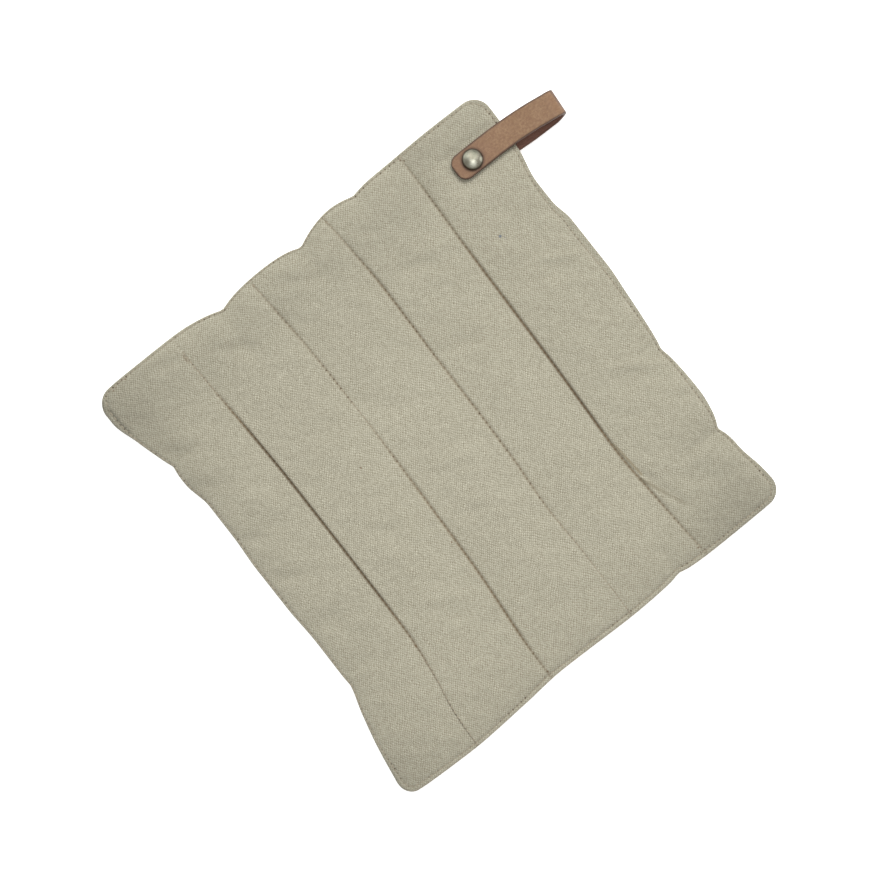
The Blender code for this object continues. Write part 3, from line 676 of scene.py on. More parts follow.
def grid_columns(rim_steps, line_steps, spacing):
    """Grid lines across the pad, from -1 to 1: close at the rim and at each quilting line."""
    pitch = 2 * HALF_WIDTH / CHANNELS
    places = [*rim_steps, *(2 * HALF_WIDTH - step for step in rim_steps)]
    for line in range(1, CHANNELS):
        places += [line * pitch + step for step in line_steps]
        places += [line * pitch - step for step in line_steps[1:]]
    for channel in range(CHANNELS):
        start = channel * pitch + (rim_steps if channel == 0 else line_steps)[-1]
        end = (channel + 1) * pitch - (rim_steps if channel == CHANNELS - 1 else line_steps)[-1]
        places += list(stations(start, end, spacing)[1:-1])
    return np.array(sorted(places)) / HALF_WIDTH - 1


def grid_rows(rim_steps, spacing):
    """Grid lines along the pad, from -1 to 1: close at both ends, even between."""
    inner = stations(rim_steps[-1], 2 * HALF_LENGTH - rim_steps[-1], spacing)[1:-1]
    places = [*rim_steps, *inner, *(2 * HALF_LENGTH - step for step in rim_steps)]
    return np.array(sorted(places)) / HALF_LENGTH - 1


def shared_rim(front, back):
    """Bring the outermost ring of both grids to the same points, halfway between them."""
    for edge in [np.s_[0, :], np.s_[-1, :], np.s_[:, 0], np.s_[:, -1]]:
        middle = (front[edge] + back[edge]) / 2
        front[edge] = middle
        back[edge] = middle
    return front, back


def closed_grid(rows, columns):
    """Faces of two grids of points, the second under the first, that share their rim."""
    upper = np.arange(rows * columns).reshape(rows, columns)
    lower = upper.copy()
    lower[1:-1, 1:-1] = rows * columns + np.arange((rows - 2) * (columns - 2)).reshape(rows - 2, -1)
    near, far = slice(None, -1), slice(1, None)
    round_face = [(near, near), (near, far), (far, far), (far, near)]
    front = np.stack([upper[corner].ravel() for corner in round_face], axis=1)
    back = np.stack([lower[corner].ravel() for corner in reversed(round_face)], axis=1)
    return np.concatenate([front, back])


def both_sides(front, back):
    """One list of the two grids' values, as `closed_grid` numbers its points."""
    depth = front.shape[2:]
    return np.concatenate([front.reshape(-1, *depth), back[1:-1, 1:-1].reshape(-1, *depth)])


def tube_faces(rings, corners):
    """Faces of a tube through rings of points that turn anticlockwise about its run, both ends closed."""
    ring, corner = np.meshgrid(np.arange(rings - 1), np.arange(corners), indexing="ij")
    after = (corner + 1) % corners
    start, end = ring * corners, (ring + 1) * corners
    sides = np.stack([start + corner, start + after, end + after, end + corner], axis=-1).reshape(-1, 4)
    step = np.arange(corners // 2 - 1)
    cap = np.stack([step, step + 1, corners - 2 - step, corners - 1 - step], axis=1)
    return np.concatenate([sides, cap[:, ::-1], cap + (rings - 1) * corners])


def new_mesh(name, points, faces):
    """A smooth mesh of four-sided faces, from arrays of points in mm and of faces."""
    mesh = bpy.data.meshes.new(name)
    mesh.vertices.add(len(points))
    mesh.vertices.foreach_set("co", (np.asarray(points) * MM).astype(np.float32).ravel())
    mesh.loops.add(faces.size)
    mesh.loops.foreach_set("vertex_index", faces.astype(np.int32).ravel())
    mesh.polygons.add(len(faces))
    mesh.polygons.foreach_set("loop_start", np.arange(0, faces.size, 4, dtype=np.int32))
    mesh.update(calc_edges=True)
    mesh.shade_smooth()
    return mesh


def add_values(mesh, name, values):
    """Keep one number for each point of a mesh, for its material to read."""
    attribute = mesh.attributes.new(name, "FLOAT", "POINT")
    attribute.data.foreach_set("value", np.asarray(values, dtype=np.float32).ravel())


def add_map(mesh, name, places):
    """Give a mesh a UV map from one place for each point."""
    corner = np.empty(len(mesh.loops), dtype=np.int32)
    mesh.loops.foreach_get("vertex_index", corner)
    layer = mesh.uv_layers.new(name=name)
    layer.uv.foreach_set("vector", places[corner].astype(np.float32).ravel())


def add_piece(name, mesh, materials, replaced=()):
    """Show a finished mesh as a piece of the part, riding on its one body."""
    for material in materials:
        mesh.materials.append(material)
    piece = bpy.data.objects.new(name, mesh)
    bpy.context.scene.collection.objects.link(piece)
    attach(piece, "root")
    if replaced:
        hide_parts(*replaced)
    return piece


# ---------------------------------------------------------------- the cloth


def cubic_weights(knots, places):
    """A matrix that reads values at `knots` at new places: through each four knots runs a cubic whose
    slope at a knot is that of the line between its neighbours."""
    row = np.clip(np.searchsorted(knots, places, side="right") - 1, 0, len(knots) - 2)
    step = knots[row + 1] - knots[row]
    t = (places - knots[row]) / step
    before, after = np.maximum(row - 1, 0), np.minimum(row + 2, len(knots) - 1)
    low_slope = (t * (1 - t) ** 2) * step / (knots[row + 1] - knots[before])
    high_slope = (t**2 * (t - 1)) * step / (knots[after] - knots[row])
    weights = np.zeros((len(places), len(knots)))
    line = np.arange(len(places))
    np.add.at(weights, (line, row), (1 + 2 * t) * (1 - t) ** 2 - high_slope)
    np.add.at(weights, (line, row + 1), t**2 * (3 - 2 * t) + low_slope)
    np.add.at(weights, (line, before), -low_slope)
    np.add.at(weights, (line, after), high_slope)
    return weights


def held_points(u, v, front, back):
    """Which points the sewing, the turned edge and the strap hold still."""
    from_line = seam_distance(u)[0]
    sewn = (np.minimum(*edge_distance(u, v)) <= TOPSTITCH_INSET) | (from_line < SIM_SEWN)
    under = front_limit(front[..., 0], front[..., 1]) - front[..., 2] < SIM_HOLD
    over = back[..., 2] - back_limit(back[..., 0], back[..., 1]) < SIM_HOLD
    return both_sides(sewn | under, sewn | over)


def simulate(points, faces, held):
    """Blow the cloth up a little between its seams with Blender's cloth simulation, and return its points."""
    mesh = new_mesh("filling", points, faces)
    cloth = bpy.data.objects.new("filling", mesh)
    bpy.context.scene.collection.objects.link(cloth)
    group = cloth.vertex_groups.new(name=SIM_CLOTH["vertex_group_mass"])
    group.add(np.flatnonzero(held).tolist(), 1.0, "REPLACE")
    modifier = cloth.modifiers.new("cloth", "CLOTH")
    for name, value in SIM_CLOTH.items():
        setattr(modifier.settings, name, value)
    modifier.settings.effector_weights.gravity = 0
    modifier.point_cache.frame_start = 1
    modifier.point_cache.frame_end = SIM_FRAMES
    scene = bpy.context.scene
    for step in range(1, SIM_FRAMES + 1):
        scene.frame_set(step)
    shown = cloth.evaluated_get(bpy.context.evaluated_depsgraph_get())
    moved = np.empty(len(points) * 3, dtype=np.float32)
    shown.data.vertices.foreach_get("co", moved)
    scene.frame_set(1)
    bpy.data.objects.remove(cloth)
    bpy.data.meshes.remove(mesh)
    return moved.reshape(-1, 3).astype(float) / MM


def cloth_movement(columns, rows):
    """How the filling's pressure moves both cloths at each point of a fine grid. A coarser grid is blown up,
    its movement is capped, and cubics carry it to the fine grid."""
    coarse_columns = grid_columns(SIM_RIM_STEPS, (0.0, SIM_SPACING / 2), SIM_SPACING)
    coarse_rows = grid_rows(SIM_RIM_STEPS, SIM_SPACING)
    u, v = np.meshgrid(coarse_columns, coarse_rows)
    front, back = shared_rim(*cloths(u, v, SIM_START))
    start = both_sides(front, back)
    moved = simulate(start, closed_grid(*u.shape), held_points(u, v, front, back)) - start
    length = np.linalg.norm(moved, axis=1, keepdims=True)
    moved *= np.minimum(1, SIM_CAP / np.maximum(length, 1e-9))
    upper = moved[: u.size].reshape(*u.shape, 3)
    lower = np.zeros_like(upper)
    lower[1:-1, 1:-1] = moved[u.size :].reshape(u.shape[0] - 2, u.shape[1] - 2, 3)
    along, across = cubic_weights(coarse_rows, rows), cubic_weights(coarse_columns, columns)
    return [np.einsum("ri,ijk,cj->rck", along, side_moved, across) for side_moved in (upper, lower)]


def on_grid(points, columns, rows, u, v):
    """Read a grid of points anywhere: the mean of the four grid points round (u, v), each by its nearness."""
    i = np.clip(np.searchsorted(rows, v) - 1, 0, len(rows) - 2)
    j = np.clip(np.searchsorted(columns, u) - 1, 0, len(columns) - 2)
    a = ((v - rows[i]) / (rows[i + 1] - rows[i]))[:, None]
    b = ((u - columns[j]) / (columns[j + 1] - columns[j]))[:, None]
    low = points[i, j] * (1 - b) + points[i, j + 1] * b
    high = points[i + 1, j] * (1 - b) + points[i + 1, j + 1] * b
    return low * (1 - a) + high * a


def arc_lengths(points, axis):
    """Distance along each line of a grid from its middle point, over the surface."""
    steps = np.linalg.norm(np.diff(points, axis=axis), axis=-1)
    total = np.cumsum(steps, axis=axis)
    pad = [(0, 0), (0, 0)]
    pad[axis] = (1, 0)
    total = np.pad(total, pad)
    return total - np.take(total, [points.shape[axis] // 2], axis=axis)


def cloth_map(front, back):
    """Place of each point on its flat cloth, in mm: the lengths over the surface from the middle lines.
    The back's cloth lies beside the front's."""
    places = [np.stack([arc_lengths(face, 1), arc_lengths(face, 0)], axis=-1) for face in (front, back)]
    return both_sides(*places)


# ---------------------------------------------------------------- sewing


def stitches_along(seam):
    """How many stitches lie before each point of a seam: a whole number at its end."""
    length = np.concatenate([[0], np.cumsum(np.linalg.norm(np.diff(seam, axis=0), axis=1))])
    return length / length[-1] * round(length[-1] / STITCH_PITCH)


def topstitch_path():
    """The topstitching's path in (u, v): once round the pad, at its inset from the edge."""
    u, v = 1 - TOPSTITCH_INSET / HALF_WIDTH, 1 - TOPSTITCH_INSET / HALF_LENGTH
    corners = np.array([(-u, -v), (u, -v), (u, v), (-u, v), (-u, -v)])
    runs = [np.linspace(a, b, SEAM_STEPS, endpoint=False) for a, b in zip(corners, corners[1:])]
    return np.concatenate([*runs, corners[:1]])


def quilting_path(line):
    """A quilting line's path in (u, v), between its ends."""
    low, high = LINE_ENDS[line - 1]
    v = np.linspace(low / HALF_LENGTH, high / HALF_LENGTH, SEAM_STEPS)
    return np.stack([np.full_like(v, 2 * line / CHANNELS - 1), v], axis=1)


def holes_along(path, face, columns, rows):
    """The needle's holes along a path on one cloth: its places after each whole number of stitches."""
    seam = on_grid(face, columns, rows, *path.T)
    count = stitches_along(seam)
    holes = np.arange(round(count[-1]) + 1)
    return np.stack([np.interp(holes, count, seam[:, axis]) for axis in range(3)], axis=1)


def along_seams(u, v, face, columns, rows):
    """Where each point of a cloth lies by its nearest seam: how many stitches along it, a whole number at
    each hole, and how far from it. A point is set against the place of each seam that has its own u or v."""
    path = topstitch_path()
    seam = on_grid(face, columns, rows, *path.T)
    stitched = stitches_along(seam)
    runs = []
    for number, (own, axis) in enumerate([(u, 0), (v, 1), (u, 0), (v, 1)]):
        part = slice(number * SEAM_STEPS, (number + 1) * SEAM_STEPS + 1)
        runs.append((own, path[part, axis], seam[part], stitched[part]))
    for line in range(1, CHANNELS):
        path = quilting_path(line)
        seam = on_grid(face, columns, rows, *path.T)
        runs.append((v, path[:, 1], seam, stitches_along(seam)))
    count, away = np.zeros(u.shape), np.full(u.shape, SEAM_FAR)
    for own, steps, seam, stitched in runs:
        order = np.argsort(steps)
        inside = (own >= steps.min()) & (own <= steps.max())
        place = [np.interp(own, steps[order], seam[order, axis]) for axis in range(2)]
        distance = np.where(inside, np.hypot(face[..., 0] - place[0], face[..., 1] - place[1]), SEAM_FAR)
        nearer = distance < away
        away = np.where(nearer, distance, away)
        count = np.where(nearer, np.interp(own, steps[order], stitched[order]), count)
    return count, away


def hole_dents(count, away):
    """How far the nearest hole draws a cloth in at each point: a bell curve."""
    from_hole = np.hypot((count - np.round(count)) * STITCH_PITCH, away)
    return HOLE_DEPTH * np.exp(-((from_hole / HOLE_RADIUS) ** 2))


def stitches(start, end, up, dice):
    """Points of one short thread between each two holes: a middle line that rises from one hole and
    dives into the next, by the cube of the distance from its middle, with a flat oval ring round it."""
    run = end - start
    length = np.linalg.norm(run, axis=1, keepdims=True)
    run /= length
    above = np.array([0.0, 0.0, up])
    beside = np.cross(above, run)
    beside /= np.linalg.norm(beside, axis=1, keepdims=True)
    sway = dice.normal(0, STITCH_SWAY, (len(start), 2, 1))
    start = start + beside * sway[:, 0] + run * STITCH_SPACE / 2
    end = end + beside * sway[:, 1] - run * STITCH_SPACE / 2
    share = STITCH_RINGS[None, :, None]
    from_middle = np.abs(2 * share - 1) ** 3
    lift = THREAD_PROUD - (THREAD_PROUD + THREAD_DEEP) * from_middle
    middle = start[:, None] * (1 - share) + end[:, None] * share + above * lift
    radius = THREAD_RADIUS * (1 + dice.normal(0, THREAD_UNEVEN, (len(start), 1, 1)))[..., None]
    forward = np.gradient(middle, axis=1)
    forward /= np.linalg.norm(forward, axis=2, keepdims=True)
    level = np.broadcast_to(beside[:, None], forward.shape)
    upright = np.cross(forward, level)
    turn = (2 * pi * np.arange(STITCH_SIDES) / STITCH_SIDES)[:, None]
    wide, high = THREAD_FLAT
    rings = (
        middle[:, :, None]
        + radius * wide * np.cos(turn) * level[:, :, None]
        + radius * high * np.sin(turn) * upright[:, :, None]
    )
    sunk = np.broadcast_to(from_middle[..., None], (*rings.shape[:3], 1))
    return rings.reshape(-1, 3), sunk.reshape(-1)


def add_stitches(name, seams, material, seed):
    """All stitches of some seams as one mesh. Each seam is its holes, which way its cloth faces, and how
    brown its thread is at each hole."""
    dice = np.random.default_rng(seed)
    made = [stitches(holes[:-1], holes[1:], up, dice) for holes, up, brown in seams]
    points = np.concatenate([points for points, sunk in made])
    one = tube_faces(len(STITCH_RINGS), STITCH_SIDES)
    size = len(STITCH_RINGS) * STITCH_SIDES
    faces = (one[None] + size * np.arange(len(points) // size)[:, None, None]).reshape(-1, 4)
    mesh = new_mesh(name, points, faces)
    add_values(mesh, "sunk", np.concatenate([sunk for points, sunk in made]))
    browns = np.concatenate([brown[:-1] for holes, up, brown in seams])
    add_values(mesh, "brown", np.repeat(browns, size))
    return add_piece(name, mesh, [material])


# ---------------------------------------------------------------- the leather loop


def strap_leg(leg, run):
    """One leg's middle line at the places of `run`, and its slope in plan there."""
    y = smooth_curve(leg, run)
    return np.stack([run, y, smooth_curve(leg, run, 2)], axis=1), np.gradient(y, run)


def strap_stations():
    """The strip's middle line from tongue to tongue, with its slope in plan and half its width and
    thickness. The tongues' corners are quarter circles, and the fold is half a circle."""
    edge_turn = np.linspace(0, pi / 2, 5)[:-1]
    rounding = STRAP_EDGE * (1 - np.cos(edge_turn))
    corner_turn = np.linspace(0, pi / 2, 12)
    near_end = TONGUE_CORNER * (1 - np.cos(corner_turn))
    near_end = near_end[near_end > STRAP_EDGE]
    level = stations(TONGUE_CORNER, FOLD_MIDDLE - TONGUE_END, STRAP_SPACING)[1:]
    run = TONGUE_END + np.concatenate([rounding, [STRAP_EDGE], near_end, level])
    corner = np.clip(TONGUE_END + TONGUE_CORNER - run, 0, None)
    half = STRAP_WIDTH / 2 - TONGUE_CORNER + np.sqrt(TONGUE_CORNER**2 - corner**2)
    over_end = np.clip(TONGUE_END + STRAP_EDGE - run, 0, None)
    thick = STRAP_THICKNESS / 2 - STRAP_EDGE + np.sqrt(STRAP_EDGE**2 - over_end**2)
    front, front_slope = strap_leg(FRONT_LEG, run)
    back, back_slope = strap_leg(BACK_LEG, run)
    turn = np.linspace(pi / 2, -pi / 2, 29)[1:-1]
    share = 0.5 - turn / pi
    radius = (FOLD_TOP - FOLD_BOTTOM) / 2
    fold = front[-1] + (back[-1] - front[-1]) * share[:, None]
    fold[:, 0] = FOLD_MIDDLE + radius * np.cos(turn)
    fold[:, 2] = (FOLD_TOP + FOLD_BOTTOM) / 2 + radius * np.sin(turn)
    fold_slope = front_slope[-1] + (back_slope[-1] - front_slope[-1]) * share
    middle = np.concatenate([front, fold, back[::-1]])
    slope = np.concatenate([front_slope, fold_slope, back_slope[::-1]])
    widths = np.concatenate([half, np.full(len(turn), STRAP_WIDTH / 2), half[::-1]])
    thicks = np.concatenate([thick, np.full(len(turn), STRAP_THICKNESS / 2), thick[::-1]])
    return middle, slope, widths, thicks


def strap_section(half, thick):
    """Each ring of the strip's section, anticlockwise from its right edge: distances sideways and outwards.
    Its edges are quarter circles, and its inner face is its outer face mirrored."""
    turn = np.linspace(0, pi / 2, 5)
    inset, drop = STRAP_EDGE * (1 - np.cos(turn)), STRAP_EDGE * (1 - np.sin(turn))
    flats = np.linspace(1, -1, 13)[1:-1]
    half, thick = half[:, None], thick[:, None]
    across = np.hstack([half - inset, (half - STRAP_EDGE) * flats, inset[::-1] - half])
    height = np.hstack([thick - drop, thick + 0 * flats, thick - drop[::-1]])
    return np.hstack([across, across[:, ::-1]]), np.hstack([height, -height[:, ::-1]])


def strap_points():
    """Rings of points round the strip's middle line, laid out by their distances sideways and outwards.
    Also which of a ring's points face inwards, each point's place on the flat strip, and how rubbed it is."""
    middle, slope, half, thick = strap_stations()
    sideways = np.stack([-slope, np.ones_like(slope), np.zeros_like(slope)], axis=1)
    sideways /= np.linalg.norm(sideways, axis=1, keepdims=True)
    forward = np.gradient(middle, axis=0)
    outward = np.cross(forward, sideways)
    outward /= np.linalg.norm(outward, axis=1, keepdims=True)
    across, height = strap_section(half, thick)
    rings = (
        middle[:, None]
        + across[..., None] * sideways[:, None]
        + height[..., None] * outward[:, None]
    )
    length = np.concatenate([[0], np.cumsum(np.linalg.norm(np.diff(middle, axis=0), axis=1))])
    along = np.broadcast_to(length[:, None], across.shape)
    from_end = np.minimum(along, length[-1] - along)
    from_side = half[:, None] - np.abs(across)
    rubbed = np.clip(1 - np.minimum(from_side, from_end) / STRAP_WORN, 0, 1)
    inner = np.arange(across.shape[1]) >= across.shape[1] // 2
    places = np.stack([across + FLESH_SHIFT * (height < 0), along], axis=-1)
    return rings, inner, places, rubbed


def add_strap(grain, flesh):
    """The loop as one strip: grain outside, flesh inside, dark rubbed edges."""
    rings, inner, places, rubbed = strap_points()
    faces = tube_faces(*rings.shape[:2])
    mesh = new_mesh("leather_strap", rings.reshape(-1, 3), faces)
    add_map(mesh, "hide", places.reshape(-1, 2))
    add_values(mesh, "edge", rubbed)
    inside = np.tile(inner, len(rings))[faces].all(axis=1)
    mesh.polygons.foreach_set("material_index", inside.astype(np.int32))
    return add_piece("leather_strap", mesh, [grain, flesh], ["leather_loop"])


# ---------------------------------------------------------------- the rivet


def turned(profile):
    """Rings of points round the rivet's axis, from a profile of (radius, height)."""
    turn = 2 * pi * np.arange(RIVET_SIDES) / RIVET_SIDES
    radius, height = np.array(profile).T
    x = RIVET_PLACE[0] + radius[:, None] * np.cos(turn)
    y = RIVET_PLACE[1] + radius[:, None] * np.sin(turn)
    return np.stack([x, y, np.broadcast_to(height[:, None], x.shape)], axis=-1)


def cap_profile(seat, height, way):
    """A cap's profile from its underside over its rolled edge to its crown: (radius, height). The edge is
    an arc. The crown's height falls as 1 less the radius's share to the power of its roundness, and that
    to the power of its fall."""
    roll = [(RIVET_CAP_RADIUS + RIVET_LIP * (sin(turn) - 1), seat + way * RIVET_LIP * (1 - cos(turn)))
            for turn in np.linspace(0, RIVET_ROLL, 8)]
    radius, start = roll[-1]
    rise = height - abs(start - seat)
    dome = [(radius * share, start + way * rise * (1 - share**RIVET_ROUND) ** RIVET_FALL)
            for share in np.linspace(1, RIVET_TIP, 18)[1:]]
    return [(RIVET_HOLE, seat), *roll, *dome]


def add_cap(name, profile, material, replaced):
    """One turned piece of the rivet."""
    rings = turned(profile)
    mesh = new_mesh(name, rings.reshape(-1, 3), tube_faces(*rings.shape[:2]))
    return add_piece(name, mesh, [material], [replaced])


# ---------------------------------------------------------------- shader words


class Wires:
    """Short words for adding nodes to one tree and joining their sockets."""

    def __init__(self, tree):
        self.tree = tree

    def put(self, socket, value):
        """Join a socket to another, or set its own value."""
        if isinstance(value, bpy.types.NodeSocket):
            self.tree.links.new(value, socket)
        elif value is not None:
            socket.default_value = value

    def add(self, kind, inputs=None, **settings):
        """Add a node, with its settings and with values or links for its named inputs."""
        node = self.tree.nodes.new("ShaderNode" + kind)
        for name, value in settings.items():
            setattr(node, name, value)
        for name, value in (inputs or {}).items():
            self.put(node.inputs[name], value)
        return node

    def math(self, operation, a, b=None, c=None):
        """A sum on up to three numbers."""
        node = self.tree.nodes.new("ShaderNodeMath")
        node.operation = operation
        for socket, value in zip(node.inputs, (a, b, c)):
            self.put(socket, value)
        return node.outputs[0]

    def mix(self, share, a, b, clamped=True):
        """Blend two colours, and past either of them where the share isn't clamped."""
        node = self.tree.nodes.new("ShaderNodeMix")
        node.data_type = "RGBA"
        node.clamp_factor = clamped
        self.put(node.inputs[0], share)
        self.put(node.inputs[6], colour(a))
        self.put(node.inputs[7], colour(b))
        return node.outputs[2]

    def between(self, value, low, high, to_low=0.0, to_high=1.0):
        """Stretch a range of values to another, and stop at its ends."""
        inputs = {"Value": value, "From Min": low, "From Max": high, "To Min": to_low, "To Max": to_high}
        return self.add("MapRange", inputs).outputs[0]

    def noise(self, place, scale, detail=2.0, roughness=0.5, distortion=0.0):
        """Cloudy noise from 0 to 1."""
        inputs = {"Vector": place, "Scale": scale, "Detail": detail, "Roughness": roughness,
                  "Distortion": distortion}
        return self.add("TexNoise", inputs).outputs[0]

    def chance(self, place):
        """A random number from 0 to 1 for each different place."""
        return self.add("TexWhiteNoise", {"Vector": place}).outputs["Value"]

    def joined(self, x, y=0.0, z=0.0):
        """A place made of three numbers."""
        return self.add("CombineXYZ", {"X": x, "Y": y, "Z": z}).outputs[0]

    def apart(self, a, b):
        """The distance between two places."""
        return self.add("VectorMath", {0: a, 1: b}, operation="DISTANCE").outputs["Value"]

    def moved(self, place, scale=(1, 1, 1), shift=(0, 0, 0)):
        """Stretch and shift a place."""
        inputs = {"Vector": place, "Scale": scale, "Location": shift}
        return self.add("Mapping", inputs).outputs[0]

    def from_stroke(self, place, ends, half):
        """How far a place is from a straight stroke at the marks' height, in its half widths, and the
        share of the stroke's length that lies before the nearest point."""
        scale = np.array([1 / half, 1 / half, MARK_FLAT])
        start, end = (np.array([*point, MARK_HEIGHT]) * scale for point in (ends[:2], ends[2:]))
        run = end - start
        place = self.moved(place, tuple(scale), tuple(-start))
        dot = self.add("VectorMath", {0: place, 1: tuple(run)}, operation="DOT_PRODUCT").outputs["Value"]
        share = self.between(dot, 0.0, float(run @ run))
        nearest = self.add("VectorMath", {0: tuple(run), "Scale": share}, operation="SCALE").outputs[0]
        return self.apart(place, nearest), share

    def value(self, name):
        """A mesh's own value."""
        return self.add("Attribute", attribute_name=name).outputs["Fac"]

    def bump(self, height, distance, strength=1.0, normal=None):
        """A normal that leans as the height changes."""
        inputs = {"Height": height, "Distance": distance, "Strength": strength}
        node = self.add("Bump", inputs)
        self.put(node.inputs["Normal"], normal)
        return node.outputs[0]


def colour(value):
    """Three numbers as a colour with its alpha, and anything else as it is."""
    return (*value, 1.0) if isinstance(value, tuple) and len(value) == 3 else value


def new_group(name, inputs, outputs):
    """An empty node group with named sockets: (kind, name, start value), and (kind, name)."""
    group = bpy.data.node_groups.new(name, "ShaderNodeTree")
    for kind, label, start in inputs:
        socket = group.interface.new_socket(label, in_out="INPUT", socket_type="NodeSocket" + kind)
        socket.default_value = start
    for kind, label in outputs:
        group.interface.new_socket(label, in_out="OUTPUT", socket_type="NodeSocket" + kind)
    wires = Wires(group)
    start = group.nodes.new("NodeGroupInput").outputs
    end = group.nodes.new("NodeGroupOutput").inputs
    return group, wires, start, end


def new_material(name):
    """A material with one Principled shader, and words for its nodes."""
    material = bpy.data.materials.new(name)
    material.use_nodes = True
    wires = Wires(material.node_tree)
    return material, wires, material.node_tree.nodes["Principled BSDF"].inputs


def use_group(wires, group, inputs):
    """Place a node group in a material."""
    node = wires.tree.nodes.new("ShaderNodeGroup")
    node.node_tree = group
    for name, value in inputs.items():
        wires.put(node.inputs[name], value)
    return node.outputs


def plain_weave_group():
    """A plain weave: warp threads rise over every second weft thread and pass under the others.
    A thread's height is its round section, plus a sine of the place along it that turns over at each
    crossing, and the higher thread shows. Each thread has a tone of its own that thickens and thins, and
    each crossing a random speckle."""
    group, w, given, made = new_group(
        "plain weave",
        [("Vector", "Place", (0, 0, 0)), ("Float", "Warp pitch", 0.6), ("Float", "Weft pitch", 0.7)],
        [("Float", "Height"), ("Float", "Tone"), ("Float", "Speckle"), ("Float", "Warp shows")],
    )
    wander = w.noise(w.moved(given["Place"], (0.25, 0.09, 1)), 1.0, 1.0)
    weft_wander = w.noise(w.moved(given["Place"], (0.09, 0.25, 1), (31, 7, 0)), 1.0, 1.0)
    place = w.add("SeparateXYZ", {"Vector": given["Place"]}).outputs
    x = w.math("DIVIDE", w.math("MULTIPLY_ADD", wander, 1.6, place[0]), given["Warp pitch"])
    y = w.math("DIVIDE", w.math("MULTIPLY_ADD", weft_wander, 1.6, place[1]), given["Weft pitch"])
    warp_number, weft_number = w.math("FLOOR", x), w.math("FLOOR", y)
    heights = []
    for own, other, number, way in [(x, y, warp_number, 0.38), (y, x, weft_number, -0.38)]:
        off_middle = w.math("MULTIPLY_ADD", w.math("FRACT", own), 2.0, -1.0)
        section = w.math("SQRT", w.math("SUBTRACT", 1.0, w.math("MULTIPLY", off_middle, off_middle)))
        turned_over = w.math("COSINE", w.math("MULTIPLY", number, pi))
        wave = w.math("MULTIPLY", w.math("SINE", w.math("MULTIPLY", other, pi)), turned_over)
        heights.append(w.math("MULTIPLY_ADD", wave, way, w.math("MULTIPLY", section, 0.62)))
    warp_place = w.joined(warp_number, w.math("MULTIPLY", place[1], 0.11))
    weft_place = w.joined(w.math("MULTIPLY", place[0], 0.11), weft_number, 9.0)
    warp_tone, weft_tone = w.noise(warp_place, 1.7, 1.0), w.noise(weft_place, 1.7, 1.0)
    warp_shows = w.math("GREATER_THAN", heights[0], heights[1])
    tone = w.math("MULTIPLY_ADD", w.math("SUBTRACT", warp_tone, weft_tone), warp_shows, weft_tone)
    w.put(made["Height"], w.math("MAXIMUM", heights[0], heights[1]))
    w.put(made["Tone"], tone)
    w.put(made["Warp shows"], warp_shows)
    w.put(made["Speckle"], w.chance(w.joined(warp_number, weft_number)))
    return group


def mottle_group():
    """Slow and quick clouds of tone, added by their own weights, about 0.5."""
    group, w, given, made = new_group(
        "mottle",
        [("Vector", "Place", (0, 0, 0)), ("Float", "Size", 20.0), ("Float", "Fine share", 0.3)],
        [("Float", "Tone")],
    )
    scale = w.math("DIVIDE", 1.0, given["Size"])
    slow = w.add("TexNoise", {"Vector": given["Place"], "Scale": scale, "Detail": 2.0}).outputs[0]
    quick_scale = w.math("MULTIPLY", scale, 7.0)
    quick = w.add("TexNoise", {"Vector": given["Place"], "Scale": quick_scale, "Detail": 3.0}).outputs[0]
    w.put(made["Tone"], w.math("MULTIPLY_ADD", w.math("SUBTRACT", quick, slow), given["Fine share"], slow))
    return group


def object_place(w):
    """The place on the object, in mm."""
    return w.moved(w.add("TexCoord").outputs["Object"], (1 / MM,) * 3)


def seams_soiled_and_shaded(w, base, flat, fuzz):
    """The brown dirt and painted shade of the creases, strongest at the needle's holes, then the painted
    shadow of the holes themselves. A hole's place is a whole number of stitches, and each has its own
    strength. How tight the stitches are changes along the seam."""
    crease, count = w.value("crease"), w.value("stitch")
    hole = w.math("ROUND", count)
    along = w.math("MULTIPLY", w.math("SUBTRACT", count, hole), STITCH_PITCH)
    from_hole = w.math("SQRT", w.math("MULTIPLY_ADD", along, along, w.math("POWER", w.value("seam"), 2.0)))
    between_holes = w.between(crease, 0.6, 0.95, 0.65, 1.0)
    seam_soil_shade = w.math("MULTIPLY", w.between(fuzz, 0.3, 0.7, 0.6, 1.1), crease)
    seam_soil_shade = w.math("MULTIPLY", seam_soil_shade, w.between(from_hole, 0.2, 1.1, 1.2, between_holes))
    base = w.mix(seam_soil_shade, base, CANVAS_SEAM_SOIL_SHADE)
    tight = w.between(w.noise(w.moved(flat, (0.07, 0.07, 1)), 1.0, 1.0), 0.38, 0.62, 0.2, 1.0)
    dark = w.math("MULTIPLY", w.math("MULTIPLY_ADD", w.chance(w.joined(hole)), 0.6, 0.4), tight)
    dark = w.math("MULTIPLY", dark, w.between(crease, 0.6, 0.9, 1.0, 0.2))
    plain = w.math("MAXIMUM", w.between(crease, 0.0, 0.15, 0.45, 1.0), w.value("edging"))
    dark = w.math("MULTIPLY", dark, plain)
    return w.mix(w.math("MULTIPLY", w.between(from_hole, 0.25, 0.5, 1.0, 0.0), dark), base, CANVAS_HOLE_SHADOW)


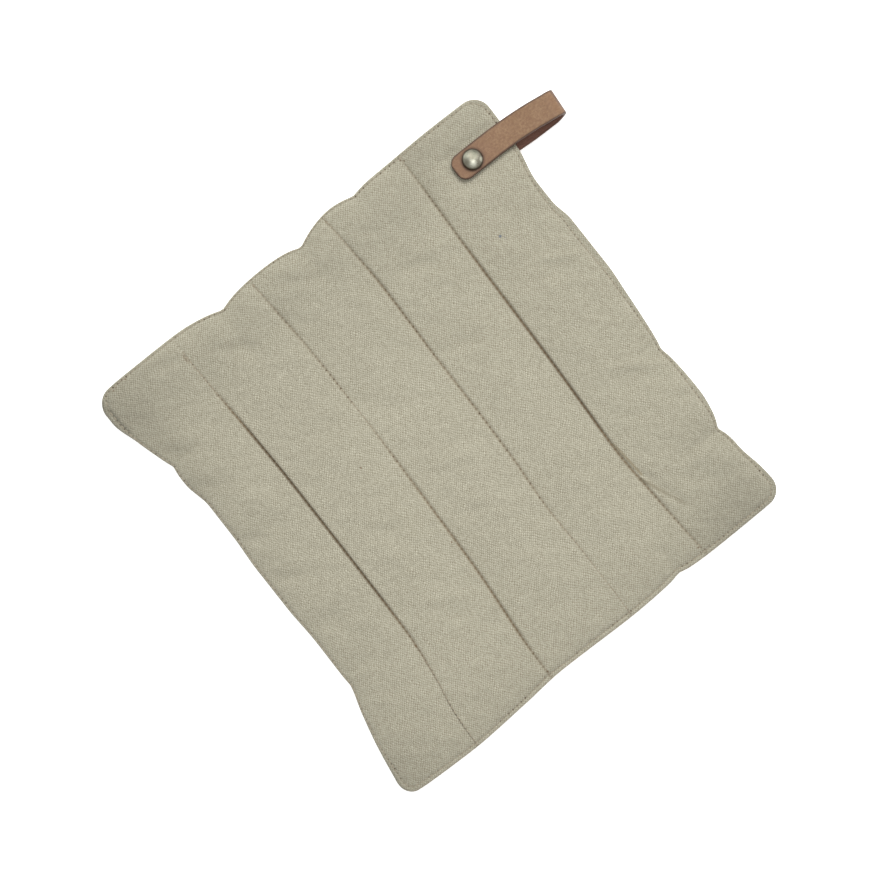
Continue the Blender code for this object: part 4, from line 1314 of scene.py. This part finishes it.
def marked(w, base, place, fuzz):
    """The small marks, then the strokes of painted crease shade, on the front. Each fades out over its own
    ragged edge.
    """
    for x, y, wide, long, paint, share in MARKS:
        near = w.moved(place, (1 / wide, 1 / long, MARK_FLAT))
        away = w.apart(near, (x / wide, y / long, MARK_FLAT * MARK_HEIGHT))
        ragged = w.math("MULTIPLY_ADD", fuzz, 0.8, away)
        base = w.mix(w.between(ragged, 0.9, 1.7, share, 0.0), base, paint)
    for *ends, half, at_start, at_end, paint in STROKES:
        away, share = w.from_stroke(place, ends, half)
        ragged = w.math("MULTIPLY_ADD", fuzz, 0.8, away)
        strength = w.between(share, 0.0, 1.0, at_start, at_end)
        base = w.mix(w.between(ragged, 0.6, 1.8, strength, 0.0), base, paint)
    return base


def canvas_material(weave, mottle):
    """Matt unbleached canvas: woven threads and slubs, with painted shade in the gaps between them, brown
    dirt and painted shade in the creases, painted shadow in the needle's holes, marks, strokes of painted
    crease shade, and painted shade by the turned edge and in soft patches, with painted light in a few.
    Its tone is one half, plus each part's distance from one half times its share."""
    material, w, shader = new_material("natural_canvas")
    flat = w.add("UVMap", uv_map="weave").outputs[0]
    place = object_place(w)
    cloth = use_group(w, weave, {"Place": flat, "Warp pitch": WARP_PITCH, "Weft pitch": WEFT_PITCH})
    clouds = use_group(w, mottle, {"Place": place, "Size": 26.0, "Fine share": 0.35})["Tone"]
    slubs = w.noise(w.moved(flat, (1.1, 0.28, 1)), 1.0, 2.0)
    weft_slubs = w.noise(w.moved(flat, (0.28, 1.1, 1), (50, 20, 0)), 1.0, 2.0)
    fuzz = w.noise(flat, 2.4, 3.0, 0.7)
    tone = 0.5
    shares = [(cloth["Tone"], 0.3), (slubs, 0.15), (weft_slubs, 0.15), (fuzz, 0.25), (clouds, 0.3),
              (cloth["Speckle"], 0.9), (cloth["Warp shows"], 1.3)]
    for part, share in shares:
        tone = w.math("MULTIPLY_ADD", w.math("SUBTRACT", part, 0.5), share, tone)
    # Painted shade where the threads dip into their gaps
    gap = w.between(cloth["Height"], 0.1, 0.5, 1.0, 0.0)
    base = w.mix(tone, CANVAS_DARK, CANVAS_LIGHT, clamped=False)
    base = w.mix(w.math("MULTIPLY", gap, 0.6), base, CANVAS_GAP_SHADE)
    base = seams_soiled_and_shaded(w, base, flat, fuzz)
    base = marked(w, base, place, fuzz)
    # Painted shade, and painted light where it is below nought: the turned edge's band and the soft patches
    w.put(shader["Base Color"], w.mix(w.value("shade"), base, (0, 0, 0), clamped=False))
    w.put(shader["Roughness"], w.between(cloth["Height"], 0.0, 1.0, 0.97, 0.86))
    shader["Sheen Weight"].default_value = 0.12
    shader["Sheen Roughness"].default_value = 0.6
    shader["Specular IOR Level"].default_value = 0.2
    turned = w.add("VectorRotate", {"Vector": place, "Angle": WRINKLE_TURN}).outputs[0]
    wrinkles = w.noise(w.moved(turned, (0.055, 0.11, 0.02)), 1.0, 2.5, 0.55)
    height = w.math("MULTIPLY_ADD", slubs, 0.6, w.math("MULTIPLY_ADD", wrinkles, 9.0, cloth["Height"]))
    w.put(shader["Normal"], w.bump(height, 0.00018, 0.8))
    return material


def thread_material(mottle):
    """Brown cotton thread, with painted shadow where it dives into its holes."""
    material, w, shader = new_material("brown_thread")
    clouds = use_group(w, mottle, {"Place": object_place(w), "Size": 3.0, "Fine share": 0.6})["Tone"]
    sunk = w.between(w.value("sunk"), 0.22, 0.65)
    base = w.mix(w.math("MULTIPLY_ADD", clouds, 0.4, w.value("brown")), THREAD_PALE, THREAD_BROWN)
    w.put(shader["Base Color"], w.mix(sunk, base, THREAD_HOLE_SHADOW))
    w.put(shader["Roughness"], w.between(clouds, 0.2, 0.8, 0.65, 0.85))
    shader["Sheen Weight"].default_value = 0.2
    return material


def hide_group():
    """Leather's skin: small cells with fine cracks between them, and pores."""
    group, w, given, made = new_group(
        "hide",
        [("Vector", "Place", (0, 0, 0)), ("Float", "Cell size", 0.5)],
        [("Float", "Height"), ("Float", "Pores")],
    )
    scale = w.math("DIVIDE", 1.0, given["Cell size"])
    bent = w.noise(given["Place"], 0.8, 2.0)
    place = w.add("VectorMath", {0: given["Place"]}, operation="ADD")
    w.put(place.inputs[1], w.joined(bent, bent))
    cells = w.add("TexVoronoi", {"Vector": place.outputs[0], "Scale": scale}, feature="DISTANCE_TO_EDGE")
    pores = w.add("TexVoronoi", {"Vector": place.outputs[0], "Scale": w.math("MULTIPLY", scale, 0.45)})
    w.put(made["Height"], w.between(cells.outputs["Distance"], 0.0, 0.18))
    w.put(made["Pores"], w.between(pores.outputs["Distance"], 0.05, 0.2, 1.0, 0.0))
    return group


def grain_material(hide, mottle):
    """Tan leather's grain side: clouded, redder and darker by the rivet, with dark rubbed edges, and
    painted shade over the far side of the fold.
    """
    material, w, shader = new_material("tan_leather")
    flat = w.add("UVMap", uv_map="hide").outputs[0]
    place = object_place(w)
    skin = use_group(w, hide, {"Place": flat, "Cell size": 0.45})
    clouds = use_group(w, mottle, {"Place": flat, "Size": 9.0, "Fine share": 0.4})["Tone"]
    fibres = w.noise(w.moved(flat, (2.2, 0.35, 1)), 1.0, 3.0, 0.6)
    blots = w.noise(flat, 0.9, 3.0, 0.7)
    base = w.mix(w.between(clouds, 0.4, 0.6), LEATHER_TAN, LEATHER_PALE)
    base = w.mix(w.between(blots, 0.42, 0.62, 0.0, 0.6), base, LEATHER_RED)
    base = w.mix(w.between(fibres, 0.4, 0.65, 0.0, 0.4), base, LEATHER_RED)
    away = w.apart(place, (*RIVET_PLACE, FRONT_TONGUE + STRAP_THICKNESS / 2))
    base = w.mix(w.between(away, 4.0, 12.0, 0.5, 0.0), base, LEATHER_RED)
    base = w.mix(w.between(away, 4.3, 5.6, 0.8, 0.0), base, LEATHER_EDGE)
    base = w.mix(w.math("MULTIPLY", skin["Pores"], 0.25), base, LEATHER_EDGE)
    # Painted shade over the far side of the fold
    bend = w.add("SeparateXYZ", {"Vector": place}).outputs[0]
    base = w.mix(w.between(bend, FOLD_SHADE_START, FOLD_SHADE_START + 0.5, 0.0, 0.6), base, LEATHER_EDGE)
    ragged = w.math("MULTIPLY_ADD", w.math("SUBTRACT", fibres, 0.5), 0.5, w.value("edge"))
    base = w.mix(w.between(ragged, 0.3, 0.75, 0.0, 0.85), base, LEATHER_EDGE)
    w.put(shader["Base Color"], base)
    w.put(shader["Roughness"], w.between(clouds, 0.2, 0.8, 0.5, 0.68))
    height = w.math("MULTIPLY_ADD", fibres, 0.7, skin["Height"])
    w.put(shader["Normal"], w.bump(height, 0.00006, 0.6))
    return material


def flesh_material(hide, mottle):
    """The leather's inner side: dark red-brown and fibrous."""
    material, w, shader = new_material("leather_flesh")
    flat = w.add("UVMap", uv_map="hide").outputs[0]
    clouds = use_group(w, mottle, {"Place": flat, "Size": 5.0, "Fine share": 0.5})["Tone"]
    skin = use_group(w, hide, {"Place": flat, "Cell size": 0.8})
    fibres = w.noise(w.moved(flat, (3.0, 0.6, 1)), 1.0, 4.0, 0.7)
    base = w.mix(w.between(fibres, 0.3, 0.7), FLESH_COLOUR, FLESH_FIBRE)
    base = w.mix(w.between(clouds, 0.45, 0.8, 0.0, 0.5), base, LEATHER_EDGE)
    base = w.mix(w.between(w.value("edge"), 0.4, 1.0, 0.0, 0.8), base, LEATHER_EDGE)
    w.put(shader["Base Color"], base)
    shader["Roughness"].default_value = 0.9
    height = w.math("MULTIPLY_ADD", fibres, 1.0, w.math("MULTIPLY", skin["Height"], 0.2))
    w.put(shader["Normal"], w.bump(height, 0.00012, 0.8))
    return material


def nickel_material(mottle):
    """Aged nickel: brown stains, fine scratches, painted reflections as dark and bright patches, and a
    painted shadow ring where the cap rolls under.
    """
    material, w, shader = new_material("aged_nickel")
    place = object_place(w)
    clouds = use_group(w, mottle, {"Place": place, "Size": 4.0, "Fine share": 0.45})["Tone"]
    stained = w.between(clouds, 0.48, 0.66)
    flat = w.moved(place, (1, 1, 0))
    ring = w.between(w.apart(flat, (*RIVET_PLACE, 0)), *NICKEL_RING_SHADOW_BAND)
    base = w.mix(w.math("MULTIPLY", stained, 0.7), NICKEL, NICKEL_STAINED)
    # Painted reflections: dark and bright patches on the cap
    for x, y, radius, paint, share in NICKEL_PAINTED_REFLECTIONS:
        near = w.apart(flat, (RIVET_PLACE[0] + x, RIVET_PLACE[1] + y, 0))
        ragged = w.math("MULTIPLY_ADD", w.math("SUBTRACT", clouds, 0.5), 2.0, near)
        base = w.mix(w.between(ragged, 0.3 * radius, radius, share, 0.0), base, paint)
    # Painted shadow ring where the cap rolls under
    base = w.mix(w.math("MULTIPLY", ring, 0.9), base, NICKEL_RING_SHADOW)
    w.put(shader["Base Color"], base)
    shader["Metallic"].default_value = 1.0
    w.put(shader["Roughness"], w.between(clouds, 0.3, 0.7, 0.4, 0.55))
    scratches = w.noise(w.moved(place, (3.0, 0.5, 1)), 1.2, 4.0, 0.65)
    w.put(shader["Normal"], w.bump(scratches, 0.00004, 0.5))
    return material


# ---------------------------------------------------------------- the pieces


def make_pad(columns, rows):
    """Both cloths' points on the fine grid: the form that the tables give, moved by the simulation, pinched
    by the strap, with the edge's groove."""
    u, v = np.meshgrid(columns, rows)
    front, back = cloths(u, v, SIM_START)
    front_moved, back_moved = cloth_movement(columns, rows)
    front, back = front + front_moved, back + back_moved
    front, back = pinched(front, back)
    front, back = shared_rim(front, back)
    for face in (front, back):
        face[:, [0, -1], 0] *= 1 - EDGE_GROOVE / HALF_WIDTH
        face[[0, -1], :, 1] *= 1 - EDGE_GROOVE / HALF_LENGTH
    return u, v, front, back


def add_pad_and_sewing(canvas, thread):
    """The pad's cover as one closed mesh, and the stitches that hold it."""
    columns = grid_columns(RIM_STEPS, LINE_STEPS, COLUMN_SPACING)
    rows = grid_rows(RIM_STEPS, ROW_SPACING)
    u, v, front, back = make_pad(columns, rows)
    seams = {"topstitching": [], "quilting_stitches": []}
    counts, aways = [], []
    for face, up, table in ((front, 1, CREASES), (back, -1, BACK_CREASES)):
        holes = holes_along(topstitch_path(), face, columns, rows)
        seams["topstitching"].append((holes, up, np.zeros(len(holes))))
        for line in range(1, CHANNELS):
            holes = holes_along(quilting_path(line), face, columns, rows)
            # How strongly the line's crease is painted with dirt and shade; its thread sinks and browns with
            # it
            line_soil_shade = crease_soil_and_shade(table, np.full(len(holes), line), holes[:, 1])
            holes[:, 2] -= up * THREAD_SINK * line_soil_shade
            seams["quilting_stitches"].append((holes, up, np.interp(line_soil_shade, [0, 1], QUILTING_BROWN)))
        count, away = along_seams(u, v, face, columns, rows)
        face[1:-1, 1:-1, 2] -= up * hole_dents(count, away)[1:-1, 1:-1]
        counts.append(count)
        aways.append(away)
    back[..., 2] = np.maximum(back[..., 2], 0)
    mesh = new_mesh("canvas_cover", both_sides(front, back), closed_grid(*u.shape))
    add_map(mesh, "weave", cloth_map(front, back))
    from_line, line = seam_distance(u)
    # Painted shade along the turned edge, darkest on the left
    left, right, lower, upper = RIM_SHADES
    from_side, from_end = edge_distance(u, v)
    rim = np.maximum(
        np.where(u > 0, right, left) * np.clip(2 - 2 * from_side / RIM_BAND, 0, 1),
        np.where(v > 0, upper, lower) * np.clip(2 - 2 * from_end / RIM_BAND, 0, 1),
    )
    shades = rim + stroke_sum(SHADES, front[..., 0], front[..., 1])
    # The creases' painted dirt and shade, strongest at the stitches
    creases = [
        np.exp(-((from_line / CREASE_CORE) ** 2)) * crease_soil_and_shade(table, line, face[..., 1])
        for face, table in ((front, CREASES), (back, BACK_CREASES))
    ]
    add_values(mesh, "stitch", both_sides(*counts))
    add_values(mesh, "seam", both_sides(*aways))
    add_values(mesh, "crease", both_sides(*creases))
    edging = (np.minimum(from_side, from_end) < TOPSTITCH_INSET + 1).astype(float)
    add_values(mesh, "edging", both_sides(edging, edging))
    add_values(mesh, "shade", both_sides(shades, shades))
    pad = add_piece("canvas_cover", mesh, [canvas], ["quilted_pad"])
    for seed, (name, parts) in enumerate(seams.items()):
        add_stitches(name, parts, thread, seed)


def add_floor():
    """A pale floor that glows a little, as a light table does: painted light that lightens the pad's shadow
    on it. It lies just under what the pad rests on.
    """
    corners = [(-1, -1), (1, -1), (1, 1), (-1, 1)]
    points = np.array([(FLOOR_HALF * x, FLOOR_HALF * y, -FLOOR_DROP) for x, y in corners])
    mesh = new_mesh("floor", points, np.array([[0, 1, 2, 3]]))
    material, _, shader = new_material("pale_floor")
    shader["Base Color"].default_value = (FLOOR_TONE, FLOOR_TONE, FLOOR_TONE, 1)
    shader["Roughness"].default_value = 0.9
    shader["Emission Color"].default_value = (1, 1, 1, 1)
    shader["Emission Strength"].default_value = FLOOR_GLOW
    mesh.materials.append(material)
    floor = bpy.data.objects.new("floor", mesh)
    bpy.context.scene.collection.objects.link(floor)


def add_camera():
    """A camera straight over the pad, turned as the photograph is."""
    data = bpy.data.cameras.new("camera")
    data.sensor_width = SENSOR
    data.lens = SENSOR * VIEW_HEIGHT / VIEW_WIDTH
    data.clip_end = 20
    camera = bpy.data.objects.new("camera", data)
    camera.location = (VIEW_CENTRE[0] * MM, VIEW_CENTRE[1] * MM, (VIEW_HEIGHT + PAD_MIDDLE) * MM)
    camera.rotation_euler = (0, 0, radians(VIEW_ROLL))
    bpy.context.scene.collection.objects.link(camera)
    bpy.context.scene.camera = camera


def add_lamp(kind, name, place, power, aimed, **shape):
    """A lamp that shines straight down from its place, or at the pad where it is aimed."""
    data = bpy.data.lights.new(name, kind)
    data.energy = power
    for setting, value in shape.items():
        setattr(data, setting, value)
    lamp = bpy.data.objects.new(name, data)
    lamp.location = place
    if aimed:
        lamp.rotation_euler = lamp.location.to_track_quat("Z", "Y").to_euler()
    bpy.context.scene.collection.objects.link(lamp)


def add_light():
    """Soft daylight, most of it from the picture's top, brightest over the middle."""
    add_lamp("AREA", "main_light", MAIN_LIGHT_PLACE, MAIN_LIGHT_POWER, True,
             shape="SQUARE", size=MAIN_LIGHT_SIZE)
    add_lamp("SPOT", "overhead_light", SPOT_PLACE, SPOT_POWER, False,
             spot_size=SPOT_ANGLE, spot_blend=1.0, shadow_soft_size=SPOT_RADIUS)
    world = bpy.data.worlds.new("studio")
    world.use_nodes = True
    background = world.node_tree.nodes["Background"].inputs
    background["Color"].default_value = (1, 1, 1, 1)
    background["Strength"].default_value = SKY_STRENGTH
    bpy.context.scene.world = world
    bpy.context.scene.view_settings.view_transform = "Standard"


add_camera()
add_light()
add_floor()
MOTTLE, WEAVE, HIDE = mottle_group(), plain_weave_group(), hide_group()
add_pad_and_sewing(canvas_material(WEAVE, MOTTLE), thread_material(MOTTLE))
STRAP = add_strap(grain_material(HIDE, MOTTLE), flesh_material(HIDE, MOTTLE))
NICKEL_FINISH = nickel_material(MOTTLE)
FRONT_SEAT = FRONT_TONGUE + STRAP_THICKNESS / 2 + GAP
BACK_SEAT = BACK_TONGUE - STRAP_THICKNESS / 2 - GAP
POST_TOP = FRONT_SEAT - GAP
add_cap("rivet_front", cap_profile(FRONT_SEAT, FRONT_CAP_HEIGHT, 1), NICKEL_FINISH, "rivet_front_cap")
back_profile = [*reversed(cap_profile(BACK_SEAT, BACK_CAP_HEIGHT, -1))]
back_profile[-1:] = [(POST_RADIUS, BACK_SEAT), (POST_RADIUS, POST_TOP), (RIVET_HOLE, POST_TOP)]
add_cap("rivet_back", back_profile, NICKEL_FINISH, "rivet_back_cap")
